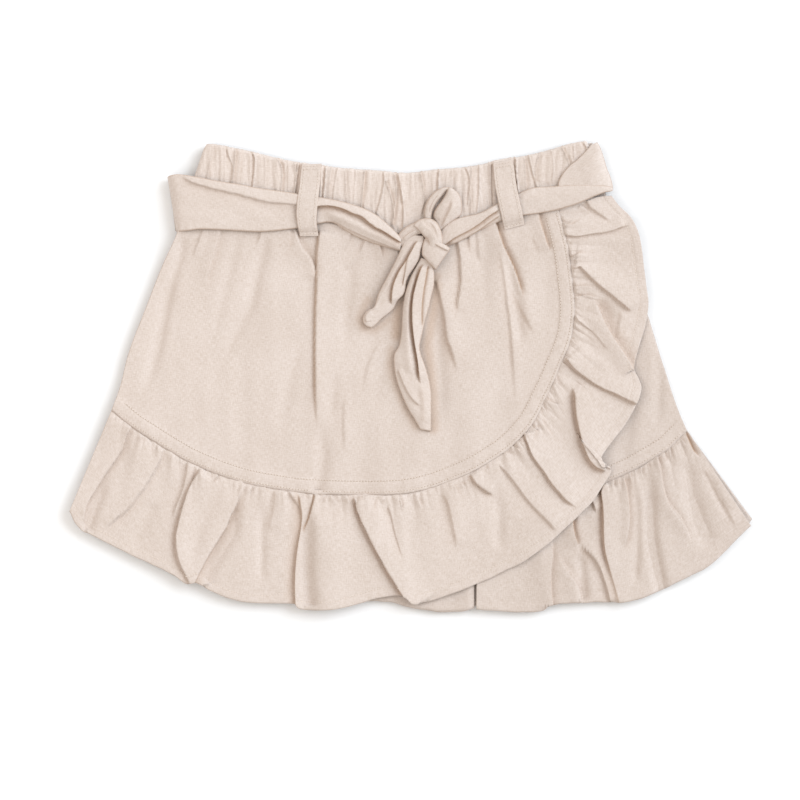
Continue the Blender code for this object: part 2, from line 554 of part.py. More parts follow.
def waistband(name, grooves, level, gather, drop, inset, shoulders):
    """The gathered casing: ridges between the grooves, its top edge rounded over."""
    top = np.array(WAIST_TOP)
    seam = np.array(WAIST_SEAM)
    lines = casing_lines(grooves, top[0, 0], top[-1, 0], shoulders)
    u = (lines - lines[0]) / (lines[-1] - lines[0])
    v = CASING_ROWS[:, None]
    x_top = lines
    y_top = smooth(top[:, 0], top[:, 1], x_top) - inset
    x_seam = seam[0, 0] + (seam[-1, 0] - seam[0, 0]) * u
    y_seam = smooth(seam[:, 0], seam[:, 1], x_seam)
    x = x_top * (1 - v) + x_seam * v
    y = y_top * (1 - v) + y_seam * v
    ridge = np.ones_like(lines)
    for groove in grooves:
        ridge = ridge - 0.85 * np.exp(-((lines - groove) / GROOVE) ** 2)
    ridge = np.clip(ridge, 0, 1) * ease(u * 16) * ease((1 - u) * 16)
    swell = 0.35 + 0.65 * ease(v * 5) * (1 - 0.5 * ease(v * 2 - 1))
    sides = ease(u * 16) * ease((1 - u) * 16)
    z = level + gather * ridge[None, :] * swell - drop * (1 - sides[None, :] * ease(v * 5))
    return sheet(name, x, y, z, DOUBLED)


def back_loop(name, top, bottom):
    """A belt loop under the back of the waistband, flat where it rests."""
    top = np.array(top)
    run = np.array(bottom) - top
    side = np.array([-run[1], run[0]]) / np.hypot(*run) * LOOP_WIDTH / 2
    rows = []
    for part in LOOP_SHAPE:
        middle = top + run * part["along"]
        left = tuple(middle - side)
        right = tuple(middle + side)
        rows.append((left, right, part["level"], part["level"], 0.0))
    sections = table("upper lower z_upper z_lower crown", rows)
    return strip(name, sections, 0.0, 14, 2, LOOP_THICKNESS)


def shorts():
    """Front and back halves of the shorts, each with its hem ruffle."""
    half_gap = SEAM_GAP / 2
    centre_left = mirror_seam(CENTRE_SEAM, -half_gap)
    centre_right = mirror_seam(CENTRE_SEAM, half_gap)
    middle = CENTRE_SEAM[0][0]
    left_x = LEG_SIDE_LEFT[0][0]
    right_x = LEG_SIDE_RIGHT[0][0]
    for side, level in (("back", LEG_BACK_LEVEL), ("front", LEG_FRONT_LEVEL)):
        inset = BACK_INSET if side == "back" else 0.0
        folds = LEG_FOLDS if side == "front" else ()
        leg(f"leg_{side}_left", left_x + inset, middle - half_gap, LEG_SIDE_LEFT, centre_left,
            LEG_RIBS_LEFT, level)
        leg(f"leg_{side}_right", middle + half_gap, right_x - inset, centre_right, LEG_SIDE_RIGHT,
            LEG_RIBS_RIGHT, level, folds)
        reach = 1.0 if side == "front" else 0.97
        left_ribs = back_ribs(LEG_RIBS_LEFT, reach)
        right_ribs = back_ribs(LEG_RIBS_RIGHT, reach)
        if side == "back":
            right_ribs[-2]["hem"] = (199.5, -97.2)
            right_ribs[-1]["hem"] = (205.5, -88.8)
        base = leg_base(level)
        hidden_left = even_ridges(left_ribs, HIDDEN_WAVE)
        shown = LEG_RIDGES_RIGHT if side == "front" else even_ridges(right_ribs, HIDDEN_WAVE)
        ruffle(f"leg_ruffle_{side}_left", left_ribs, hidden_left, 37, 3, base)
        ruffle(f"leg_ruffle_{side}_right", right_ribs, shown, 38, 4, base)


def wrap():
    """The wrap front between the waist, the left side and its curved edge, and its ruffle."""
    u = np.linspace(0, 1, 23)
    v = WRAP_ROWS
    last = len(WRAP_RIBS) - 1
    bottom = rib_line(WRAP_RIBS, "seam", u * WRAP_CORNER)
    right = rib_line(WRAP_RIBS, "seam", last + (WRAP_CORNER - last) * v)
    top = waist_edge(WRAP_SIDE[0][0], WRAP_RIBS[-1]["seam"][0], u)
    left = along(WRAP_SIDE, v)
    left = left + (top[0] - left[0]) * (1 - v)[:, None]
    right = right + (top[-1] - right[0]) * (1 - v)[:, None] ** 2
    place = between(top, bottom, left, right, u, v)
    x = place[..., 0]
    y = place[..., 1]
    z = WRAP_LEVEL + PANEL_RISE * waist_rise(y) + soft_folds(WRAP_FOLDS, x, y)
    sheet("wrap_front", x, y, z, CLOTH)
    ruffle("wrap_ruffle", WRAP_RIBS, WRAP_RIDGES, 126, 5, wrap_base)


def waist():
    """Casing, belt loops, belt and knot."""
    waistband("waistband_back", GATHERS_BACK, WAIST_BACK_LEVEL, WAIST_BACK_GATHER, 0.0, 0.9,
              False)
    waistband("waistband_front", GATHERS_FRONT, WAIST_FRONT_LEVEL, WAIST_GATHER, 0.7, 0.0, True)
    for loop in BACK_LOOPS:
        back_loop("belt_loop_back_" + loop["name"], loop["top"], loop["bottom"])
    strip("belt_back", BELT_BACK, BELT_BACK_LEVEL, 14, 3, DOUBLED)
    front = BELT_LEVEL
    strip("belt_loop_front_left", LOOP_FRONT_LEFT, front, 16, 2, LOOP_THICKNESS)
    strip("belt_loop_front_right", LOOP_FRONT_RIGHT, front, 16, 2, LOOP_THICKNESS)
    strip("belt_left", BELT_LEFT, front, 26, 5, DOUBLED, fold=0.6)
    strip("belt_right", BELT_RIGHT, front, 20, 5, DOUBLED, fold=0.5)
    strip("belt_right_fold", BELT_RIGHT_FOLD, front, 8, 6, DOUBLED, bend=8.0)
    strip("belt_bow", BELT_BOW, front, 20, 4, CLOTH)
    strip("belt_tail_left", TAIL_LEFT, front, 14, 5, CLOTH, fold=0.8)
    strip("belt_tail_right", TAIL_RIGHT, front, 20, 5, CLOTH, fold=0.8)
    strip("belt_band", BELT_BAND, front, 6, 4, CLOTH)
    strip("belt_knot", BELT_KNOT, front, 14, 5, CLOTH)


for old in list(bpy.data.objects):
    bpy.data.objects.remove(old)
skort = bpy.data.collections.new("Skort")
bpy.context.scene.collection.children.link(skort)
shorts()
wrap()
waist()
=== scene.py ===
# A child's linen skort laid flat and seen from above: shorts with ruffled hems, a wrap front with a
# ruffled edge, a gathered waistband and a knotted belt. Lengths in the tables are in millimetres,
# the cuts of the cloths in metres.
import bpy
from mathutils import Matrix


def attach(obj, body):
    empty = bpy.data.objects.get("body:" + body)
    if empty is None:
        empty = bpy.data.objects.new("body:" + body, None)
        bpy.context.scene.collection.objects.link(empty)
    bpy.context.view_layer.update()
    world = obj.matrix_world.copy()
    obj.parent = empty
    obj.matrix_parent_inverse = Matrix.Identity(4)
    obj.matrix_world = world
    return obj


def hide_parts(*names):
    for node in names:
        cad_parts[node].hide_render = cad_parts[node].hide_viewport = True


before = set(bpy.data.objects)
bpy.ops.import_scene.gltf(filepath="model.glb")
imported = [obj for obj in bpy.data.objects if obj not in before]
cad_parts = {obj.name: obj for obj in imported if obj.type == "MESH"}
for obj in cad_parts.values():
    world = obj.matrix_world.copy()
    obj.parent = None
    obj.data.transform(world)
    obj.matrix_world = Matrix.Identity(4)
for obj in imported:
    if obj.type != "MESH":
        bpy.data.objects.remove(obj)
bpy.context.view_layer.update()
import bpy
import numpy as np

mm = 0.001          # metres in a millimetre
clothWall = 0.7     # one linen cloth
bandWall = 1.1      # two or more cloths sewn together

# z of each layer's upper side where nothing lifts it, and the rise of the panels to the waist
layer = {"legBack": 1.0, "legFront": 2.7, "wrap": 5.6, "waistBack": 4.3, "waistFront": 7.4, "belt": 10.6,
         "waistRise": 1.5, "riseFrom": 64.0, "riseTo": 84.0}


def ease(x):
    # 0 below 0, 1 above 1 and a smooth rise between: 3x^2 - 2x^3
    x = np.clip(x, 0.0, 1.0)
    return x * x * (3.0 - 2.0 * x)


def bell(x):
    # 1 at 0, falling to nothing on both sides: exp(-x^2)
    return np.exp(-x * x)


def rolledDown(distance, radius):
    # how far a rounded edge has dropped at a distance from it: a quarter circle of that radius
    return radius * (1 - np.sqrt(1 - np.clip(1 - distance / radius, 0, 1) ** 2))


def fadedEnds(place, fadeIn, fadeOut):
    # 1 along a line, easing to 0 over its first part and over its last
    return ease(place / max(fadeIn, 0.001)) * ease((1 - place) / max(fadeOut, 0.001))


def points(rows, columns):
    # a table's columns, as arrays by name
    return {name: np.array([row[k] for row in rows], dtype=float) for k, name in enumerate(columns.split())}


def curveThrough(knots, values, at):
    # cubic curve through the values, its slope at each knot taken from the neighbours
    knots = np.asarray(knots, dtype=float)
    values = np.asarray(values, dtype=float)
    slopes = np.gradient(values, knots, axis=0)
    at = np.clip(at, knots[0], knots[-1])
    i = np.clip(np.searchsorted(knots, at, side="right") - 1, 0, len(knots) - 2)
    step = knots[i + 1] - knots[i]
    f = (at - knots[i]) / step
    if values.ndim == 2:
        step = step[..., None]
        f = f[..., None]
    first = (1 + 2 * f) * (1 - f) ** 2 * values[i] + f * (1 - f) ** 2 * step * slopes[i]
    return first + f * f * (3 - 2 * f) * values[i + 1] - f * f * (1 - f) * step * slopes[i + 1]


def alongTable(table, column, s):
    # a column of a table as a smooth curve, s counting the table's rows
    return curveThrough(np.arange(len(table[column])), table[column], s)


def alongLine(line, parts):
    # places on the smooth curve through a line's points, by part of its length
    line = np.asarray(line, dtype=float)
    knots = np.concatenate([[0.0], np.cumsum(np.hypot(*np.diff(line, axis=0).T))])
    return curveThrough(knots, line, np.asarray(parts) * knots[-1])


def smoothLine(line, steps):
    # a line's smooth curve as a finer line, with that many steps for each of its own
    return alongLine(line, np.linspace(0, 1, steps * (len(line) - 1) + 1))


def insideEdges(top, bottom, left, right, u, v):
    # a patch between four edge lines: the two ruled surfaces less the one through the corners
    u = u[None, :, None]
    v = v[:, None, None]
    rows = (1 - v) * top[None] + v * bottom[None]
    columns = (1 - u) * left[:, None] + u * right[:, None]
    corners = (1 - v) * ((1 - u) * top[0] + u * top[-1]) + v * ((1 - u) * bottom[0] + u * bottom[-1])
    return rows + columns - corners


def waves(a, b, seed):
    # smooth unevenness between about -1 and 1: a random slope at each whole a and b, blended between
    cells = 256
    turn = np.random.default_rng(seed).uniform(0, 2 * np.pi, (cells, cells))
    i = np.floor(a).astype(int)
    j = np.floor(b).astype(int)
    f = a - i
    g = b - j

    def fromCorner(di, dj):
        angle = turn[(i + di) % cells, (j + dj) % cells]
        return np.cos(angle) * (f - di) + np.sin(angle) * (g - dj)

    across = ease(f)
    near = fromCorner(0, 0) * (1 - across) + fromCorner(1, 0) * across
    far = fromCorner(0, 1) * (1 - across) + fromCorner(1, 1) * across
    return 1.6 * (near * (1 - ease(g)) + far * ease(g))


def toLine(line, x, y):
    # signed distance from a line, positive on its right, the part of its length, and its direction
    run = np.diff(line, axis=0)
    length = np.hypot(run[:, 0], run[:, 1])
    dx = x[..., None] - line[:-1, 0]
    dy = y[..., None] - line[:-1, 1]
    part = np.clip((dx * run[:, 0] + dy * run[:, 1]) / length ** 2, 0, 1)
    away = (dx - part * run[:, 0]) ** 2 + (dy - part * run[:, 1]) ** 2
    nearest = np.argmin(away, axis=-1)

    def atNearest(values):
        return np.take_along_axis(values, nearest[..., None], axis=-1)[..., 0]

    onRight = atNearest(dx * run[:, 1] - dy * run[:, 0]) >= 0
    distance = np.sqrt(atNearest(away)) * np.where(onRight, 1.0, -1.0)
    before = np.concatenate([[0.0], np.cumsum(length)])
    place = (before[nearest] + atNearest(part) * length[nearest]) / before[-1]
    return distance, place, run[nearest] / length[nearest][..., None]


# How every fold looks: its crest's lean dies out over leanReach, a dip of fullDip makes its painted
# shade as dark as it gets, and that painted shade is darkest that far beside the line
foldLook = {"leanReach": 4.0, "fullDip": 1.4, "darkBeside": 0.45}


def folds(rows, x, y):
    # A row is up, height, reach, back, dip, dipReach, lean, fadeIn, fadeOut and the fold's line. The
    # cloth on the line's right (left where up is -1) stands up by height and falls away over reach.
    # On the other side it drops within back and sinks by dip, which closes over dipReach. Heights join
    # as the fourth root of the sum of fourth powers, dips as the root of the sum of squares. The crest
    # leans over its low side. The last result is painted shade for the colour: 1 deep in a fold's sharp
    # side and fading over its low side.
    beside = foldLook["darkBeside"]
    high, low, leanX, leanY, creaseShade = np.zeros((5, *x.shape))
    for up, height, reach, back, dip, dipReach, lean, fadeIn, fadeOut, line in rows:
        wide = 3.0 * max(reach, back, dipReach)     # past this the fold is nothing
        line = smoothLine(line, 8)
        near = (x > line[:, 0].min() - wide) & (x < line[:, 0].max() + wide)
        near = near & (y > line[:, 1].min() - wide) & (y < line[:, 1].max() + wide)
        distance, place, forward = toLine(line, x[near], y[near])
        distance = distance * up
        onLowSide = distance < 0
        fade = fadedEnds(place, fadeIn, fadeOut)
        stand = fade * bell(distance / np.where(onLowSide, back, reach))
        high[near] += (height * stand) ** 4
        below = np.where(onLowSide, 1 - bell(distance / back), 0.0)
        low[near] += (dip * fade * below * bell(distance / dipReach)) ** 2
        shift = -up * lean * stand * np.where(onLowSide, 1.0, bell(distance / foldLook["leanReach"]))
        leanX[near] += shift * forward[..., 1]
        leanY[near] -= shift * forward[..., 0]
        # painted shade for the colour: darkest just beside the line on the sharp side, fainter over the low
        # side
        sharp = min(1.0, (dip / foldLook["fullDip"]) ** 1.5) * fade
        dark = sharp * bell((distance + beside) / np.where(distance < -beside, 0.35 + 0.3 * dip, beside))
        dark = np.maximum(dark, np.where(onLowSide, 0.5 * sharp * bell(distance / dipReach), 0.0))
        creaseShade[near] = np.maximum(creaseShade[near], dark)
    return high ** 0.25 - np.sqrt(low), leanX, leanY, creaseShade


def nips(lines):
    # short sharp creases that start at a gathered seam, as rows for folds
    return [(1, 0.8, 2.4, 0.25, 0.6, 1.3, 0.0, 0.0, 0.5, line) for line in lines]


def hollows(rows, x, y):
    # broad soft valleys; a row is depth, half width, how it fades in and out, and its line
    deep = np.zeros(x.shape)
    for depth, width, fadeIn, fadeOut, line in rows:
        distance, place = toLine(smoothLine(line, 6), x, y)[:2]
        deep = deep + depth * fadedEnds(place, fadeIn, fadeOut) * bell(distance / width)
    return deep


# What all the linens share: threads and clouds in a metre, how much each colour channel follows the
# grain, the painted shade's brown tint deep in a fold, and the height of the threads in metres
weave = {"threadCount": 2000.0, "threadLength": 380.0, "clouds": 30.0, "channels": (0.9, 1.1, 1.35),
         "paintedShadeTint": (0.72, 0.57, 0.44, 1.0), "threadHeight": 0.0003}


def setInputs(node, values):
    # numbers and colours on a node's own sockets
    for name, value in values.items():
        node.inputs[name].default_value = value


def weaveMaterial(name, colour, grain):
    # Matt linen. Uneven threads both ways darken and lift the cloth, over broad faint clouding, and
    # the colour runs from 1 - grain to 1 + grain times its own as they add up.
    material = bpy.data.materials.new(name)
    material.use_nodes = True
    nodes = material.node_tree.nodes
    link = material.node_tree.links.new
    shader = nodes["Principled BSDF"]
    setInputs(shader, {"Roughness": 0.86, "Specular IOR Level": 0.25,
                       "Sheen Weight": 0.12, "Sheen Roughness": 0.6})
    clothMap = nodes.new("ShaderNodeUVMap")
    clothMap.uv_map = "weave"

    def threads(alongScale, acrossScale, detail):
        place = nodes.new("ShaderNodeMapping")
        setInputs(place, {"Scale": (alongScale, acrossScale, 1.0)})
        link(clothMap.outputs["UV"], place.inputs["Vector"])
        noise = nodes.new("ShaderNodeTexNoise")
        setInputs(noise, {"Scale": 1.0, "Detail": detail})
        link(place.outputs["Vector"], noise.inputs["Vector"])
        return noise.outputs["Fac"]

    def maths(how, *values):
        # each value is a number or another node's output
        node = nodes.new("ShaderNodeMath")
        node.operation = how
        for socket, value in zip(node.inputs, values):
            if isinstance(value, float):
                socket.default_value = value
            else:
                link(value, socket)
        return node.outputs[0]

    weft = threads(weave["threadLength"], weave["threadCount"], 2.0)
    warp = threads(weave["threadCount"], weave["threadLength"], 2.0)
    cloud = threads(weave["clouds"], weave["clouds"], 1.0)
    grid = maths("ADD", weft, warp)
    tone = maths("ADD", maths("MULTIPLY", cloud, 0.35), grid)
    ramp = nodes.new("ShaderNodeValToRGB")
    for stop, position, sign in zip(ramp.color_ramp.elements, (0.25, 0.75), (-1, 1)):
        stop.position = position
        stop.color = (*(c * (1 + sign * grain * k) for c, k in zip(colour, weave["channels"])), 1.0)
    link(maths("MULTIPLY_ADD", tone, 0.8, -0.44), ramp.inputs["Fac"])
    # Painted shade: the colour is multiplied towards a brown tint by the mesh's painted-shade attribute
    creaseShade = nodes.new("ShaderNodeAttribute")
    creaseShade.attribute_name = "creaseShade"
    shade = nodes.new("ShaderNodeMix")
    shade.data_type = "RGBA"
    shade.blend_type = "MULTIPLY"
    setInputs(shade, {"B": weave["paintedShadeTint"]})
    link(creaseShade.outputs["Fac"], shade.inputs["Factor"])
    link(ramp.outputs["Color"], shade.inputs["A"])
    link(shade.outputs["Result"], shader.inputs["Base Color"])
    bump = nodes.new("ShaderNodeBump")
    setInputs(bump, {"Strength": 0.35, "Distance": weave["threadHeight"]})
    link(grid, bump.inputs["Height"])
    link(bump.outputs["Normal"], shader.inputs["Normal"])
    return material


linen = weaveMaterial("oatmeal linen", (0.608, 0.533, 0.491), 0.115)
# a darker copy of the same linen for the shorts: painted shade
shadedLegLinen = weaveMaterial("leg linen shaded copy", (0.588, 0.514, 0.472), 0.115)
# a lighter copy of the same linen for the waistband: painted light against the shade of its grooves
litWaistLinen = weaveMaterial("waist linen lit copy", (0.638, 0.560, 0.517), 0.115)
# a slightly lighter copy of the same linen for the belt: painted light
litBeltLinen = weaveMaterial("belt linen lit copy", (0.613, 0.538, 0.496), 0.105)
thread = weaveMaterial("linen thread", (0.68, 0.60, 0.54), 0.05)
# dark brown for the discs in the needle holes: painted shade
needleHoleShade = weaveMaterial("needle hole painted shade", (0.42, 0.33, 0.26), 0.05)


def sewnIn(piece, nodes):
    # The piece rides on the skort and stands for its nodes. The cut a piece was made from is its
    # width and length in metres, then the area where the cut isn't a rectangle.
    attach(piece, "root")
    if nodes:
        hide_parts(*nodes)
    print(piece.name, len(piece.data.polygons), "faces")


def meshPiece(name, places, faces, finish):
    # a smooth mesh at the origin, its place in its points
    mesh = bpy.data.meshes.new(name)
    mesh.from_pydata((places * mm).tolist(), [], faces)
    mesh.shade_smooth()
    mesh.materials.append(finish)
    piece = bpy.data.objects.new(name, mesh)
    bpy.context.scene.collection.objects.link(piece)
    return piece


def clothPiece(name, x, y, z, wall, finish, along=None, across=None, creaseShade=None):
    # Quads between the points of a grid, facing up and never below the floor, with the wall added
    # below them. The weave runs along and across, or along x and y where those aren't given.
    z = np.maximum(z, wall)
    corner = np.arange(x.size).reshape(x.shape)
    faces = np.stack([corner[:-1, :-1], corner[1:, :-1], corner[1:, 1:], corner[:-1, 1:]], axis=-1)
    facing = np.sum((x[1:, :-1] - x[:-1, :-1]) * (y[:-1, 1:] - y[:-1, :-1])
                    - (y[1:, :-1] - y[:-1, :-1]) * (x[:-1, 1:] - x[:-1, :-1]))
    if facing < 0:
        faces = faces[..., ::-1]
    faces = faces.reshape(-1, 4)
    places = np.stack([x, y, z], axis=-1).reshape(-1, 3)
    piece = meshPiece(name + "_cloth", places, faces.tolist(), finish)
    along = x if along is None else along
    across = y if across is None else across
    flat = np.stack([along, across], axis=-1).reshape(-1, 2) * mm
    clothMap = piece.data.uv_layers.new(name="weave")
    clothMap.data.foreach_set("uv", flat[faces.reshape(-1)].astype(np.float32).ravel())
    # the painted shade in folds, along rolled edges and beside the tails, kept for the material
    if creaseShade is not None:
        shade = piece.data.attributes.new("creaseShade", "FLOAT", "POINT")
        shade.data.foreach_set("value", creaseShade.ravel().astype(np.float32))
    solid = piece.modifiers.new("Cloth wall", "SOLIDIFY")
    solid.thickness = wall * mm
    solid.offset = -1.0
    return piece


# Each row of sewing: from stitch to stitch, a stitch's length, width and height, and the radius of the dark
# disc painted as shade in its needle hole
stitchKinds = {
    "topstitches": {"pitch": 1.8, "length": 1.2, "width": 0.5, "height": 0.4, "holeShade": 0.25},
    "hem_stitches": {"pitch": 1.8, "length": 1.2, "width": 0.5, "height": 0.25, "holeShade": 0.06},
    "loop_stitches": {"pitch": 1.9, "length": 1.35, "width": 0.42, "height": 0.28, "holeShade": 0.16}}


def stitchRows(name, lines):
    # A short rounded bar for each stitch, laid along the line on the cloth: four rings of six points.
    # Between stitches a dark flat disc is painted shade standing for the needle's hole.
    kind = stitchKinds[name]
    pitch = kind["pitch"]
    middles = []
    directions = []
    for line in lines:
        steps = np.linalg.norm(np.diff(line, axis=0), axis=1)
        travelled = np.concatenate([[0.0], np.cumsum(steps)])
        at = np.arange(pitch, travelled[-1] - pitch, pitch)
        middle, ahead = [np.stack([np.interp(far, travelled, line[:, k]) for k in range(3)], axis=-1)
                         for far in (at, at + 0.5)]
        direction = ahead - middle
        middles.append(middle)
        directions.append(direction / np.linalg.norm(direction, axis=1)[:, None])
    middle = np.concatenate(middles)[:, None, :]
    forward = np.concatenate(directions)[:, None, :]
    sideways = np.cross(forward, [0.0, 0.0, 1.0])
    up = np.cross(sideways, forward)
    corners = 6
    reaches = np.array([-0.5, -0.3, 0.3, 0.5])      # of the rings, in a stitch's lengths
    thickness = np.array([0.45, 1.0, 1.0, 0.45])    # of the rings, in a stitch's width and height
    around = np.arange(corners) * np.pi / 3
    turn, ring = [grid.ravel() for grid in np.meshgrid(around, np.arange(len(reaches)))]
    offSide = (thickness[ring] * np.cos(turn) * kind["width"] / 2)[None, :, None]
    offUp = (thickness[ring] * np.sin(turn) * kind["height"] / 2)[None, :, None]
    bars = middle + forward * reaches[ring][None, :, None] * kind["length"]
    bars = bars + sideways * offSide + up * (offUp + kind["height"] * 0.2)
    count, size = bars.shape[:2]
    start = (np.arange(count) * size)[:, None, None]
    k = np.arange(size - corners)
    beside = k - k % corners + (k + 1) % corners
    sides = np.stack([k, beside, beside + corners, k + corners], axis=-1)
    quads = (sides[None] + start).reshape(-1, 4)
    ends = np.stack([np.arange(corners - 1, -1, -1), np.arange(size - corners, size)])
    caps = (ends[None] + start).reshape(-1, corners)
    holeShades = middle + forward * pitch / 2 + up * 0.16
    rim = forward * np.cos(around)[None, :, None] + sideways * np.sin(around)[None, :, None]
    holeShades = holeShades + rim * kind["holeShade"]
    discs = count * size + np.arange(count * corners).reshape(-1, corners)
    places = np.concatenate([bars.reshape(-1, 3), holeShades.reshape(-1, 3)])
    faces = quads.tolist() + caps.tolist() + discs[:, ::-1].tolist()
    piece = meshPiece(name, places, faces, thread)
    piece.data.materials.append(needleHoleShade)
    dark = np.zeros(len(faces), dtype=np.int32)
    dark[-count:] = 1
    piece.data.polygons.foreach_set("material_index", dark)
    sewnIn(piece, [])


# The seam between the panels and the waistband, from left to right
waistSeam = np.array([
    (-135.3, 100.8), (-95.7, 97.2), (-59.7, 93.6), (-32.7, 88.8), (-5.7, 84.3), (18.3, 85.8), (48.3, 93.9),
    (78.3, 103.2), (96.3, 106.8), (116.7, 111.6)])


def underWaist(x, tuck):
    # the panels' upper edge, tucked under the waistband
    return np.stack([x, curveThrough(waistSeam[:, 0], waistSeam[:, 1], x) + tuck], axis=-1)


def riseToWaist(y):
    # how far a panel has risen to the waistband
    return layer["waistRise"] * ease((y - layer["riseFrom"]) / (layer["riseTo"] - layer["riseFrom"]))


